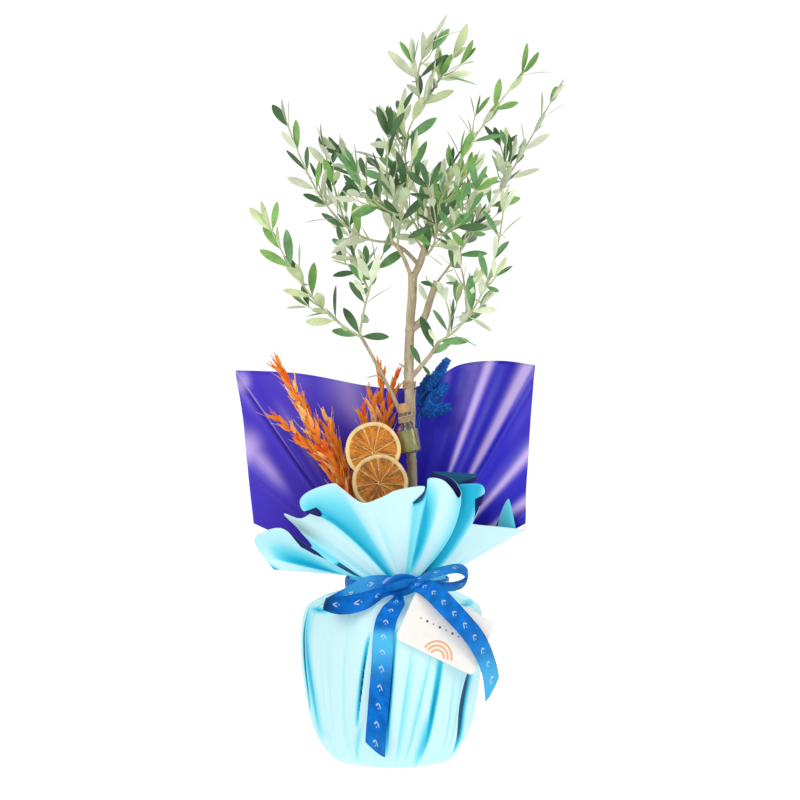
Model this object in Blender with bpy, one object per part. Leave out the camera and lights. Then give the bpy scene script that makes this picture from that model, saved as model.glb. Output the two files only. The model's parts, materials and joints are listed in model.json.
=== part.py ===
"""A young olive tree in a nursery pot, wrapped as a gift.

The pot stands in a bag of pale film that a satin ribbon gathers above the rim, so the
film's edge flares out as a ruffled collar.  A second, purple sheet stands behind the
stem, with two dried orange slices, dried oats, dyed seed heads, a card tag and a small
corked bottle of oil tied to the trunk.

All sizes are in millimetres and become metres when a mesh is made.  The origin is the
middle of the flat underside, +Z is up and the front faces -Y.  Azimuths are in degrees,
0 at +X and 90 at +Y.
"""

import math
import random
from collections import namedtuple

import bmesh
import bpy
from mathutils import Matrix, Vector
from mathutils.bvhtree import BVHTree

MM = 0.001
CLEARANCE = 0.3  # between two pieces that touch
FULL_TURN = 2.0 * math.pi

# ---------------------------------------------------------------- driving dimensions

FILM = 0.8  # thickness of the wrapping sheets
POT_HEIGHT = 140.0
POT_FOOT_RADIUS = 56.0
POT_RIM_RADIUS = 76.0
POT_LIP = 2.0
POT_WALL = 1.6
POT_ROUND = 20  # steps round it
SOIL_BELOW_RIM = 6.0

NECK_HEIGHT = 174.0  # where the ribbon gathers the film
NECK_RADIUS = 47.0
NECK_SHIFT = 4.0  # the neck sits a little to the right of the pot
BAG_FOOT_RADIUS = 58.0
# Height and radius of the loose bag, from its foot to its neck.
BAG_PROFILE = (
    (4.0, 64.0),
    (28.0, 79.0),
    (60.0, 86.0),
    (105.0, 91.5),
    (145.0, 89.5),
    (157.0, 79.0),
    (164.0, 58.0),
    (167.0, NECK_RADIUS),
    (NECK_HEIGHT, NECK_RADIUS),
)
BAG_FOOT_ROWS = 1  # rings from the underside's middle to its edge
# Azimuth, half width in degrees and depth of each fold pressed into the bag.
BAG_FOLDS = (
    (-160.0, 7.0, 6.0),
    (-128.0, 9.0, 4.5),
    (-104.0, 6.0, 5.5),
    (-62.0, 8.0, 5.0),
    (-36.0, 6.0, 5.5),
    (-8.0, 9.0, 4.0),
    (24.0, 8.0, 5.5),
    (52.0, 7.0, 4.5),
    (80.0, 9.0, 5.5),
    (108.0, 7.0, 4.5),
    (138.0, 8.0, 5.5),
    (168.0, 8.0, 4.0),
)

# The collar's edge: x, y, z and the azimuth at which that part leaves the neck.
Station = namedtuple("Station", "x y z azimuth")
COLLAR_EDGE = tuple(
    Station(*values)
    for values in (
        (133, 2, 226, 2),
        (105, -28, 231, -18),
        (75, -46, 236, -34),
        (68, -40, 246, -38),
        (79, -56, 259, -42),
        (88, -64, 266, -46),
        (84, -61, 275, -51),
        (74, -51, 275, -56),
        (63, -42, 278, -61),
        (54, -47, 280, -64),
        (61, -57, 277, -66),
        (66, -67, 268, -68),
        (63, -73, 262, -70),
        (56, -79, 272, -72),
        (47, -83, 280, -75),
        (34, -83, 281, -79),
        (29, -78, 271, -82),
        (17, -69, 257, -84),
        (18, -76, 275, -86),
        (5, -81, 270, -88),
        (-13, -83, 262, -90),
        (-30, -82, 258, -93),
        (-50, -78, 272, -96),
        (-58, -76, 276, -98),
        (-79, -71, 269, -101),
        (-89, -69, 260, -104),
        (-84, -76, 250, -107),
        (-76, -67, 251, -110),
        (-89, -56, 241, -114),
        (-106, -45, 245, -121),
        (-94, -30, 230, -130),
        (-79, -42, 214, -137),
        (-89, -56, 214, -143),
        (-103, -58, 229, -149),
        (-116, -52, 231, -155),
        (-135, -38, 221, -163),
        (-127, -49, 205, -171),
        (-115, -40, 190, -178),
        (-112, -5, 200, -186),
        (-116, 30, 222, -197),
        (-98, 62, 243, -211),
        (-78, 84, 234, -222),
        (-58, 92, 252, -234),
        (-34, 108, 262, -246),
        (-12, 104, 250, -258),
        (10, 116, 264, -270),
        (34, 106, 252, -282),
        (56, 104, 262, -294),
        (76, 86, 246, -306),
        (98, 74, 250, -318),
        (106, 48, 236, -330),
        (115, 24, 252, -342),
        (124, 16, 240, -350),
    )
)
COLLAR_ROUND = 2 * len(COLLAR_EDGE)  # steps round the collar
COLLAR_ROWS = 2
COLLAR_UPRIGHT = 1.0 / COLLAR_ROWS  # share of the rows that stand inside the ribbon band
BAG_ROUND = 46

# The purple sheet's edge, from its lower right corner round to its lower left one.
BACKING_EDGE = (
    (133, 6, 232),
    (134, 10, 262),
    (137, 14, 312),
    (143, 17, 391),
    (109, 30, 396),
    (68, 42, 392),
    (38, 50, 374),
    (7, 52, 368),
    (-29, 48, 371),
    (-95, 34, 383),
    (-159, 16, 386),
    (-151, 14, 336),
    (-146, 12, 282),
    (-140, 8, 232),
)
BACKING_FOOT_X = 31.0  # half width and depth of the arc in which it stands in the pot
BACKING_FOOT_Y = 16.0
BACKING_ROWS = 5  # the first stands in the pot, below the neck
BACKING_WAVE = 5.0
BACKING_WAVES = 7

RIBBON_WIDTH = 20.0
RIBBON = 0.6  # thickness
PINCH = 0.45  # share of its width that a ribbon has where it enters the knot
BAND_RADIUS = 50.4
BAND_HALF = 5.0  # half its height
KNOT_CENTRE = Vector((9.0, -59.3, 176.5))
KNOT_SIZE = (30.0, 15.0, 20.0)

TAG_SIZE = (86.0, 56.0, 0.8)
TAG_CORNER = 5.0

SLICE_THICKNESS = 5.0
ORANGE_UPPER = (Vector((-19.5, -31.7, 307.0)), 27.5)  # centre and radius
ORANGE_LOWER = (Vector((-12.5, -41.0, 275.5)), 27.5)
SLICE_TILT = 7.0  # degrees that both slices lean back
PICK_RADIUS = 1.4

BOTTLE_FOOT = Vector((18.3, -18.6, 303.5))
BOTTLE_TILT = 10.0  # degrees from upright, towards -X
BOTTLE_RADIUS = 11.0
BOTTLE_BODY = 27.0
BOTTLE_NECK_RADIUS = 5.6
BOTTLE_HEIGHT = 40.0
BOTTLE_WALL = 1.2
CORK_TOP = 50.0
OIL_LEVEL = 24.0
TWINE_RADIUS = 0.9

LEAF_THICKNESS = 0.9
LEAF_SLENDERNESS = 0.33  # width to length
STALK = 0.34  # half height of a leaf's foot, which is hidden in its twig
TWIG_ROOT_RADIUS = 1.35
TWIG_TIP_RADIUS = 0.85
INTERNODE = 16.5  # between two pairs of leaves

POT_BASE = FILM + CLEARANCE
POT_TOP = POT_BASE + POT_HEIGHT
SOIL_TOP = POT_TOP - SOIL_BELOW_RIM

# ---------------------------------------------------------------- limbs and foliage

Limb = namedtuple("Limb", "points radii sides grows_from")
LIMBS = {
    "trunk": Limb(
        ((19, 0, SOIL_TOP + CLEARANCE), (19, 0, 155), (19, 0, 276), (16, 0, 384), (17, 0, 429), (19, 0, 456), (20, 0, 482)),
        (9.0, 6.2, 5.4, 4.6, 5.0, 4.3, 4.6),
        8,
        (),
    ),
    "bough_leader": Limb(
        ((20, 0, 478), (27, 2, 493), (32, 4, 510), (37, 6, 525), (34, 8, 550)),
        (3.4, 3.6, 2.8, 2.9, 1.8),
        6,
        ("trunk",),
    ),
    "bough_left_upper": Limb(
        ((26, 3, 491), (14, 5, 504), (4, 4, 511), (-9, -2, 514)),
        (2.2, 1.9, 1.7, 1.5),
        6,
        ("bough_leader",),
    ),
    "bough_left_lower": Limb(
        ((19, -1, 478), (9, -6, 501), (-1, -8, 514)),
        (2.2, 1.9, 1.6),
        6,
        ("trunk", "bough_leader"),
    ),
    "bough_stump": Limb(
        ((18, 1, 426), (31, 4, 438), (37, 5, 456), (44, 5, 475)),
        (3.8, 3.7, 3.4, 3.5),
        6,
        ("trunk",),
    ),
    "bough_lower_right": Limb(
        ((17, -1, 377), (35, -12, 398), (46, -20, 414)),
        (2.5, 2.2, 1.8),
        6,
        ("trunk",),
    ),
    "bough_lower_left": Limb(
        ((18, 0, 312), (4, 1, 351), (-15, -5, 389), (-27, -10, 411), (-33, -12, 421)),
        (2.2, 2.0, 1.9, 1.7, 1.6),
        6,
        ("trunk",),
    ),
}

# A shoot grows from a point part of the way along its parent: -1 is the mass's limb.
# Roll turns its first pair of leaves, which each next pair crosses at a right angle.
Shoot = namedtuple("Shoot", "parent at via tip leaf roll")
Mass = namedtuple("Mass", "limb shoots seed")
MASSES = {
    "foliage_top": Mass(
        "bough_leader",
        (
            Shoot(-1, 1.0, (12, 2, 602), (31, -5, 652), 34, 45),
            Shoot(0, 0.97, (25, -12, 680), (37, -15, 711), 36, 30),
            Shoot(0, 0.97, (44, 4, 674), (60, 12, 700), 36, 50),
            Shoot(0, 0.58, (5, 14, 621), (7, 24, 644), 34, 40),
            Shoot(0, 0.3, (6, 24, 582), (-12, 48, 604), 32, 10),
        ),
        11,
    ),
    "foliage_right_plume": Mass(
        "bough_leader",
        (
            Shoot(-1, 0.72, (68, -28, 594), (127, -66, 672), 29, 45),
            Shoot(0, 0.22, (60, -36, 560), (66, -52, 592), 30, 20),
        ),
        12,
    ),
    "foliage_far_right": Mass(
        "bough_stump",
        (
            Shoot(-1, 0.94, (101, 35, 557), (165, 70, 668), 33, 45),
            Shoot(0, 0.2, (74, 10, 525), (77, -4, 548), 30, 60),
            Shoot(0, 0.55, (116, 60, 590), (112, 82, 622), 30, 0),
        ),
        13,
    ),
    "foliage_lower_right": Mass(
        "bough_lower_right",
        (
            Shoot(-1, 1.0, (86, -44, 458), (107, -60, 540), 31, 45),
            Shoot(0, 0.3, (72, -16, 462), (68, -4, 488), 30, 30),
            Shoot(0, 0.08, (56, -30, 436), (52, -42, 452), 30, 0),
        ),
        14,
    ),
    "foliage_upper_left": Mass(
        "bough_left_upper",
        (
            Shoot(-1, 1.0, (-60, -30, 541), (-103, -45, 626), 30, 45),
            Shoot(0, 0.36, (-58, 4, 566), (-70, 24, 611), 30, 30),
        ),
        15,
    ),
    "foliage_center_left": Mass(
        "bough_left_lower",
        (
            Shoot(-1, 1.0, (-6, -12, 560), (-4, -26, 616), 33, 45),
            Shoot(0, 0.38, (-34, 8, 577), (-54, 28, 605), 31, 20),
        ),
        16,
    ),
    "foliage_left_middle": Mass(
        "bough_lower_left",
        (
            Shoot(-1, 1.0, (-24, 6, 466), (-10, 22, 504), 33, 40),
            Shoot(0, 0.5, (-36, 26, 494), (-44, 44, 524), 30, 60),
        ),
        17,
    ),
    "foliage_lower_left": Mass(
        "bough_lower_left",
        (
            Shoot(-1, 0.9, (-80, -36, 458), (-118, -58, 522), 34, 45),
        ),
        18,
    ),
    "foliage_center": Mass(
        "bough_left_lower",
        (
            Shoot(-1, 0.72, (10, -34, 545), (18, -52, 588), 34, 45),
            Shoot(0, 0.4, (-16, -52, 548), (-34, -74, 574), 32, 10),
        ),
        19,
    ),
    "foliage_right_middle": Mass(
        "bough_leader",
        (
            Shoot(-1, 0.76, (62, 24, 546), (80, 34, 584), 32, 45),
            Shoot(0, 0.45, (60, 52, 562), (66, 78, 590), 30, 0),
        ),
        20,
    ),
    "foliage_back": Mass(
        "bough_leader",
        (
            Shoot(-1, 0.52, (18, 52, 545), (-6, 92, 588), 34, 45),
            Shoot(0, 0.45, (34, 76, 552), (50, 104, 582), 32, 20),
        ),
        21,
    ),
    "foliage_front": Mass(
        "bough_leader",
        (
            Shoot(-1, 0.34, (42, -36, 518), (34, -84, 560), 32, 45),
            Shoot(0, 0.5, (64, -62, 526), (80, -90, 556), 30, 10),
        ),
        22,
    ),
}

# ---------------------------------------------------------------- dried trimmings

Spray = namedtuple("Spray", "stems spikelets length seed")
OATS = {
    "dried_oats_left": Spray(
        (
            ((-14, -12, SOIL_TOP + CLEARANCE), (-20, -14, 180), (-47, -19, 272), (-72, -20, 316), (-92, -22, 356), (-120, -24, 400)),
            ((-14, -12, SOIL_TOP + CLEARANCE), (-22, -12, 180), (-60, -13, 279), (-92, -12, 317), (-122, -14, 345)),
            ((-14, -12, SOIL_TOP + CLEARANCE), (-18, -10, 180), (-44, -8, 272), (-57, -6, 306), (-68, -6, 346)),
        ),
        8,
        26.0,
        31,
    ),
    "dried_oats_right": Spray(
        (
            ((-6, 8, SOIL_TOP + CLEARANCE), (-9, 8, 200), (-14, 8, 300), (-18, 8, 335), (-24, 8, 372)),
            ((-6, 8, SOIL_TOP + CLEARANCE), (-7, 9, 200), (-11, 10, 300), (-12, 10, 345), (-12, 10, 394)),
            ((-6, 8, SOIL_TOP + CLEARANCE), (-4, 10, 200), (-5, 12, 300), (-4, 14, 345), (4, 16, 388)),
        ),
        6,
        22.0,
        32,
    ),
}

SeedHead = namedtuple("SeedHead", "stem root tip radius")
BLUE_HEADS = (
    SeedHead(((15, 12, 136), (16, 11, 250), (20, 13, 340)), (36, 16, 368), (55, 18, 396), 5.0),
    SeedHead(((18, 16, 136), (18, 18, 250), (21, 24, 330)), (33, 30, 358), (43, 33, 383), 6.5),
    SeedHead(((21, 11, 136), (20, 10, 250), (23, 10, 330)), (35, 11, 350), (55, 13, 371), 5.0),
    SeedHead(((24, 13, 136), (23, 12, 240), (23, 12, 305)), (31, 12, 338), (56, 8, 348), 6.0),
)

Finish = namedtuple("Finish", "colour roughness metallic")
FINISHES = {
    "pot_plastic": Finish((0.03, 0.03, 0.03), 0.5, 0.0),
    "soil": Finish((0.09, 0.055, 0.03), 0.95, 0.0),
    "aqua_film": Finish((0.5, 0.88, 0.95), 0.35, 0.0),
    "purple_film": Finish((0.06, 0.03, 0.4), 0.25, 0.0),
    "satin_ribbon": Finish((0.01, 0.1, 0.55), 0.3, 0.0),
    "white_card": Finish((0.85, 0.83, 0.8), 0.7, 0.0),
    "dried_orange": Finish((0.6, 0.25, 0.04), 0.6, 0.0),
    "pale_wood": Finish((0.6, 0.45, 0.28), 0.7, 0.0),
    "dyed_oats": Finish((0.8, 0.2, 0.03), 0.7, 0.0),
    "dyed_seed_heads": Finish((0.0, 0.09, 0.35), 0.8, 0.0),
    "clear_glass": Finish((0.85, 0.9, 0.85), 0.05, 0.0),
    "olive_oil": Finish((0.45, 0.4, 0.08), 0.1, 0.0),
    "cork": Finish((0.5, 0.33, 0.18), 0.85, 0.0),
    "jute": Finish((0.6, 0.5, 0.33), 0.9, 0.0),
    "bark": Finish((0.4, 0.33, 0.2), 0.8, 0.0),
    "olive_leaf": Finish((0.07, 0.2, 0.06), 0.5, 0.0),
}


# ---------------------------------------------------------------- curves and meshes


def smoothstep(low, high, value):
    """0 below low, 1 above high, with a soft change between them."""
    share = min(max((value - low) / (high - low), 0.0), 1.0)
    return share * share * (3.0 - 2.0 * share)


def through(points, share, closed=False):
    """The point at a share of the way along a smooth curve through some points."""
    count = len(points)
    spans = count if closed else count - 1
    place = min(max(share, 0.0), 1.0) * spans
    span = min(int(place), spans - 1)
    t = place - span

    def pick(index):
        if closed:
            return Vector(points[index % count])
        return Vector(points[min(max(index, 0), count - 1)])

    before, start, end, after = (pick(span + offset) for offset in (-1, 0, 1, 2))
    return 0.5 * (
        2.0 * start
        + (end - before) * t
        + (2.0 * before - 5.0 * start + 4.0 * end - after) * t * t
        + (3.0 * start - before - 3.0 * end + after) * t * t * t
    )


def smooth_path(points, count):
    """A number of points, evenly shared out, along the curve through some points."""
    return [through(points, index / (count - 1)) for index in range(count)]


def between(values, share):
    """A plain number read part of the way along a list of numbers."""
    place = min(max(share, 0.0), 1.0) * (len(values) - 1)
    index = min(int(place), len(values) - 2)
    return values[index] + (values[index + 1] - values[index]) * (place - index)


def bow(root, via, tip, share):
    """A point on the arc from root to tip that passes through via half way."""
    root, via, tip = Vector(root), Vector(via), Vector(tip)
    control = 2.0 * via - (root + tip) / 2.0
    rest = 1.0 - share
    return rest * rest * root + 2.0 * rest * share * control + share * share * tip


def sweep(points, radii, sides):
    """A closed tube along a path, made by extruding its own end cap from ring to ring."""
    shape = bmesh.new()
    bmesh.ops.create_circle(shape, cap_ends=True, segments=sides, radius=1.0)
    shape.faces.ensure_lookup_table()
    cap = shape.faces[0]
    corners = [corner.vert.co.copy() for corner in cap.loops]
    side = None
    last = len(points) - 1
    for index, point in enumerate(points):
        along = (points[min(index + 1, last)] - points[max(index - 1, 0)]).normalized()
        if side is None:
            side = along.orthogonal()
        side = (side - along * side.dot(along)).normalized()
        across = along.cross(side)
        if index:
            cap = bmesh.ops.extrude_discrete_faces(shape, faces=[cap])["faces"][0]
        for corner, loop in zip(corners, cap.loops):
            loop.vert.co = point + (side * corner.x + across * corner.y) * radii[index]
    edges = [edge for edge in shape.edges if edge.is_boundary]
    bmesh.ops.holes_fill(shape, edges=edges, sides=sides)
    bmesh.ops.recalc_face_normals(shape, faces=shape.faces)
    return shape


def turned(profile, steps):
    """A closed solid of revolution about Z, from its outline as radius and height."""
    shape = bmesh.new()
    verts = [shape.verts.new((radius, 0.0, height)) for radius, height in profile]
    edges = [shape.edges.new(pair) for pair in zip(verts, verts[1:])]
    bmesh.ops.spin(
        shape,
        geom=verts + edges,
        axis=(0.0, 0.0, 1.0),
        cent=(0.0, 0.0, 0.0),
        angle=FULL_TURN,
        steps=steps,
        use_merge=True,
    )
    bmesh.ops.remove_doubles(shape, verts=shape.verts, dist=0.001)
    bmesh.ops.recalc_face_normals(shape, faces=shape.faces)
    return shape


def hull(points):
    """The closed solid stretched round a few points."""
    shape = bmesh.new()
    for point in points:
        shape.verts.new(point)
    bmesh.ops.convex_hull(shape, input=shape.verts)
    bmesh.ops.recalc_face_normals(shape, faces=shape.faces)
    return shape


def surface(columns, rows, point_at, joined=False):
    """A grid laid over a surface, where point_at(u, v) gives its places, u and v 0 to 1."""
    shape = bmesh.new()
    bmesh.ops.create_grid(shape, x_segments=columns, y_segments=rows, size=0.5)
    for vert in shape.verts:
        vert.co = point_at(vert.co.x + 0.5, vert.co.y + 0.5)
    if joined:
        bmesh.ops.remove_doubles(shape, verts=shape.verts, dist=0.001)
    return shape


def thick_sheet(name, shape, thickness, finish, offset=-1.0):
    """An object whose surface is given its thickness by a Solidify modifier."""
    sheet = finished(name, shape, finish)
    solidify = sheet.modifiers.new("Thickness", "SOLIDIFY")
    solidify.thickness = thickness * MM
    solidify.offset = offset
    solidify.use_quality_normals = True
    return sheet


def finish_of(name):
    """The named material, made the first time that it is asked for."""
    material = bpy.data.materials.get(name)
    if material is None:
        values = FINISHES[name]
        material = bpy.data.materials.new(name)
        material.use_nodes = True
        shader = material.node_tree.nodes["Principled BSDF"]
        shader.inputs["Base Color"].default_value = (*values.colour, 1.0)
        shader.inputs["Roughness"].default_value = values.roughness
        shader.inputs["Metallic"].default_value = values.metallic
        material.diffuse_color = (*values.colour, 1.0)
    return material


def finished(name, shape, finish):
    """Turn a bmesh in millimetres into an object in metres."""
    mesh = bpy.data.meshes.new(name)
    bmesh.ops.scale(shape, vec=(MM, MM, MM), verts=shape.verts)
    shape.to_mesh(mesh)
    shape.free()
    mesh.shade_smooth()
    mesh.set_sharp_from_angle(angle=math.radians(40.0))
    mesh.materials.append(finish_of(finish))
    made = bpy.data.objects.new(name, mesh)
    bpy.context.scene.collection.objects.link(made)
    return made


def settled_mesh(made):
    """The object's mesh with its modifiers applied."""
    bpy.context.view_layer.update()
    graph = bpy.context.evaluated_depsgraph_get()
    return bpy.data.meshes.new_from_object(made.evaluated_get(graph))


def replace_mesh(made, mesh):
    """Put a mesh in the place of an object's own, with no modifiers left."""
    old = made.data
    made.modifiers.clear()
    made.data = mesh
    bpy.data.meshes.remove(old)


def joined_by_union(name, shapes, finish):
    """One solid from many that overlap, by a union on a collection."""
    made = finished(name, shapes[0], finish)
    helpers = bpy.data.collections.new(name + "_pieces")
    for index, shape in enumerate(shapes[1:]):
        piece = finished(f"{name}_piece_{index}", shape, finish)
        bpy.context.scene.collection.objects.unlink(piece)
        helpers.objects.link(piece)
    bpy.context.scene.collection.children.link(helpers)
    union = made.modifiers.new("Union", "BOOLEAN")
    union.operation = "UNION"
    union.operand_type = "COLLECTION"
    union.collection = helpers
    union.solver = "EXACT"
    mesh = settled_mesh(made)
    replace_mesh(made, mesh)
    for piece in list(helpers.objects):
        bpy.data.objects.remove(piece)
    bpy.data.collections.remove(helpers)
    return made


def cut_away(made, cutter_shape):
    """Take the cutter's shape out of an object."""
    cutter = finished("cutter", cutter_shape, "bark")
    cut = made.modifiers.new("Cut", "BOOLEAN")
    cut.operation = "DIFFERENCE"
    cut.object = cutter
    cut.solver = "EXACT"
    mesh = settled_mesh(made)
    replace_mesh(made, mesh)
    bpy.data.objects.remove(cutter)


def tree_of(made):
    """A search tree over an object's settled mesh, in millimetres."""
    mesh = settled_mesh(made)
    shape = bmesh.new()
    shape.from_mesh(mesh)
    bpy.data.meshes.remove(mesh)
    bmesh.ops.scale(shape, vec=(1.0 / MM, 1.0 / MM, 1.0 / MM), verts=shape.verts)
    tree = BVHTree.FromBMesh(shape)
    shape.free()
    return tree


def touches(tree, obstacles):
    """True if the shape behind one tree meets any of the others."""
    return any(tree.overlap(obstacle) for obstacle in obstacles)


# ---------------------------------------------------------------- pot and wrapping


def profile_outline(pairs, share):
    """Height and radius part of the way along a profile of such pairs."""
    height = between([pair[0] for pair in pairs], share)
    radius = between([pair[1] for pair in pairs], share)
    return height, radius


def fold_depth(azimuth):
    """How deep the bag's pressed folds are at an azimuth, from 0 to their full depth."""
    depth = 0.0
    for middle, half_width, full in BAG_FOLDS:
        away = abs((azimuth - middle + 180.0) % 360.0 - 180.0) / half_width
        if away < 1.0:
            depth = max(depth, full * (1.0 - away) ** 1.5)
    return depth


def neck_pleat(azimuth):
    """The small pleats that the ribbon gathers at the neck."""
    return 1.2 * math.cos(math.radians(17.0 * azimuth)) + 0.8 * math.cos(math.radians(29.0 * azimuth + 40.0))


def bag_point(u, v):
    """A point on the bag: u goes round it, v goes from the underside's middle to the neck."""
    azimuth = -360.0 * u
    row = v * (BAG_FOOT_ROWS + len(BAG_PROFILE))
    angle = math.radians(azimuth)
    if row < BAG_FOOT_ROWS + 0.5:
        radius = BAG_FOOT_RADIUS * min(row / BAG_FOOT_ROWS, 1.0)
        height = 0.0
    else:
        share = (row - BAG_FOOT_ROWS - 1.0) / (len(BAG_PROFILE) - 1)
        height, radius = profile_outline(BAG_PROFILE, share)
        loose = smoothstep(0.0, 60.0, height) * (1.0 - 0.75 * smoothstep(150.0, NECK_HEIGHT, height))
        loose *= 1.0 - smoothstep(158.0, 166.0, height)
        radius -= loose * fold_depth(azimuth)
        radius += 1.5 * loose * math.cos(math.radians(5.0 * azimuth + 30.0))
        radius += neck_pleat(azimuth) * smoothstep(150.0, 166.0, height)
    shift = NECK_SHIFT * smoothstep(120.0, 166.0, height)
    return Vector((shift + radius * math.cos(angle), radius * math.sin(angle), height))


def make_bag():
    """The film round the pot, from its flat underside up to the neck."""
    shape = surface(BAG_ROUND, BAG_FOOT_ROWS + len(BAG_PROFILE), bag_point, joined=True)
    bmesh.ops.recalc_face_normals(shape, faces=shape.faces)
    return thick_sheet("wrap_bag", shape, FILM, "aqua_film")


def collar_point(u, v):
    """A point on the collar: u goes round it, v goes from the neck to the edge."""
    edge = through([(s.x, s.y, s.z) for s in COLLAR_EDGE], u, closed=True)
    azimuths = [s.azimuth for s in COLLAR_EDGE] + [COLLAR_EDGE[0].azimuth - 360.0]
    azimuth = between(azimuths, u)
    angle = math.radians(azimuth)
    radius = NECK_RADIUS + neck_pleat(azimuth)
    neck = Vector((NECK_SHIFT + radius * math.cos(angle), radius * math.sin(angle), NECK_HEIGHT + CLEARANCE))
    rise = neck + Vector((0.0, 0.0, BAND_HALF + 1.0))
    if v < COLLAR_UPRIGHT:
        return neck.lerp(rise, v / COLLAR_UPRIGHT)
    return rise.lerp(edge, (v - COLLAR_UPRIGHT) / (1.0 - COLLAR_UPRIGHT))


def make_collar():
    """The ruffled edge of the film, above the ribbon."""
    shape = surface(COLLAR_ROUND, COLLAR_ROWS, collar_point, joined=True)
    bmesh.ops.recalc_face_normals(shape, faces=shape.faces)
    return thick_sheet("wrap_collar", shape, FILM, "aqua_film")


def backing_point(u, v):
    """A point on the purple sheet: u goes from right to left, v from its foot to its edge."""
    spans = len(BACKING_EDGE) - 1
    place = u * spans
    index = min(int(place), spans - 1)
    edge = Vector(BACKING_EDGE[index]).lerp(Vector(BACKING_EDGE[index + 1]), place - index)
    angle = math.pi * u
    foot = Vector((
        NECK_SHIFT + BACKING_FOOT_X * math.cos(angle),
        12.0 + BACKING_FOOT_Y * math.sin(angle),
        SOIL_TOP + CLEARANCE,
    ))
    gather = foot + Vector((0.0, 0.0, NECK_HEIGHT + 6.0 - foot.z))
    if v < 0.2:
        return foot.lerp(gather, v / 0.2)
    share = (v - 0.2) / 0.8
    point = gather.lerp(edge, share)
    point.y += BACKING_WAVE * share * math.sin(math.pi * BACKING_WAVES * u) * math.sin(math.pi * u)
    return point


def make_backing():
    """The upright purple sheet behind the stems."""
    columns = 2 * (len(BACKING_EDGE) - 1)
    shape = surface(columns, BACKING_ROWS, backing_point)
    return thick_sheet("backing_sheet", shape, FILM, "purple_film", offset=0.0)


def make_pot():
    """The tapered nursery pot and the soil that fills it."""
    wall = POT_WALL
    pot = turned(
        (
            (0.0, POT_BASE),
            (POT_FOOT_RADIUS, POT_BASE),
            (POT_RIM_RADIUS, POT_TOP - 8.0),
            (POT_RIM_RADIUS + POT_LIP, POT_TOP - 8.0),
            (POT_RIM_RADIUS + POT_LIP, POT_TOP),
            (POT_RIM_RADIUS - wall, POT_TOP),
            (POT_FOOT_RADIUS - wall, POT_BASE + wall),
            (0.0, POT_BASE + wall),
        ),
        POT_ROUND,
    )
    finished("nursery_pot", pot, "pot_plastic")
    slope = (POT_RIM_RADIUS - POT_FOOT_RADIUS) / (POT_TOP - POT_BASE - wall)
    bottom = POT_BASE + wall + CLEARANCE
    inner = POT_FOOT_RADIUS - wall - 2.0 * CLEARANCE
    soil = turned(
        (
            (0.0, bottom),
            (inner, bottom),
            (inner + slope * (SOIL_TOP - bottom), SOIL_TOP),
            (0.0, SOIL_TOP),
        ),
        POT_ROUND,
    )
    finished("soil", soil, "soil")


# ---------------------------------------------------------------- ribbon and tag


def strip(name, stations, steps, both_ends):
    """A ribbon along stations, each a point and the direction in which its width lies.

    It starts in the knot, which pinches it and is cut from it, and a loop ends there too.
    """
    points = [place for place, across in stations]
    widths = [across for place, across in stations]

    def point_at(u, v):
        across = through(widths, u).normalized()
        from_knot = min(u, 1.0 - u) if both_ends else u
        width = RIBBON_WIDTH * (PINCH + (1.0 - PINCH) * smoothstep(0.0, 0.3, from_knot))
        return through(points, u) + across * width * (v - 0.5)

    shape = surface(steps, 1, point_at)
    made = thick_sheet(name, shape, RIBBON, "satin_ribbon", offset=0.0)
    cut_away(made, knot_shape(CLEARANCE))
    return made


def knot_shape(extra=0.0):
    """The knot, or a larger one to cut with."""
    shape = bmesh.new()
    bmesh.ops.create_uvsphere(shape, u_segments=10, v_segments=6, radius=0.5)
    bmesh.ops.scale(shape, vec=[size + 2.0 * extra for size in KNOT_SIZE], verts=shape.verts)
    turn = Matrix.Rotation(math.radians(-6.0), 3, "Y")
    bmesh.ops.rotate(shape, cent=(0.0, 0.0, 0.0), matrix=turn, verts=shape.verts)
    bmesh.ops.translate(shape, vec=KNOT_CENTRE, verts=shape.verts)
    return shape


def laid_on(stations, trees, gap, count):
    """Finer stations, each after the first moved along Y to rest a little off what lies behind."""
    points = [place for place, across in stations]
    widths = [across for place, across in stations]
    fronts = []
    for index in range(count):
        share = index / (count - 1)
        middle = through(points, share)
        side = through(widths, share).normalized() * RIBBON_WIDTH / 2.0
        front = middle.y
        for across in (-1.0, -0.6, -0.2, 0.2, 0.6, 1.0):
            for rise in (-6.0, -3.0, 0.0, 3.0, 6.0):
                start = middle + side * across
                start = Vector((start.x, -300.0, start.z + rise))
                for tree in trees:
                    hit = tree.ray_cast(start, Vector((0.0, 1.0, 0.0)))[0]
                    if hit is not None and hit.y < 0.0:
                        front = min(front, hit.y - side.y * across - gap)
        fronts.append(front)
    placed = [stations[0]]
    for index in range(1, count):
        share = index / (count - 1)
        middle = through(points, share)
        middle.y = min(fronts[index - 1:index + 2])
        placed.append((middle, through(widths, share)))
    return placed


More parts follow.
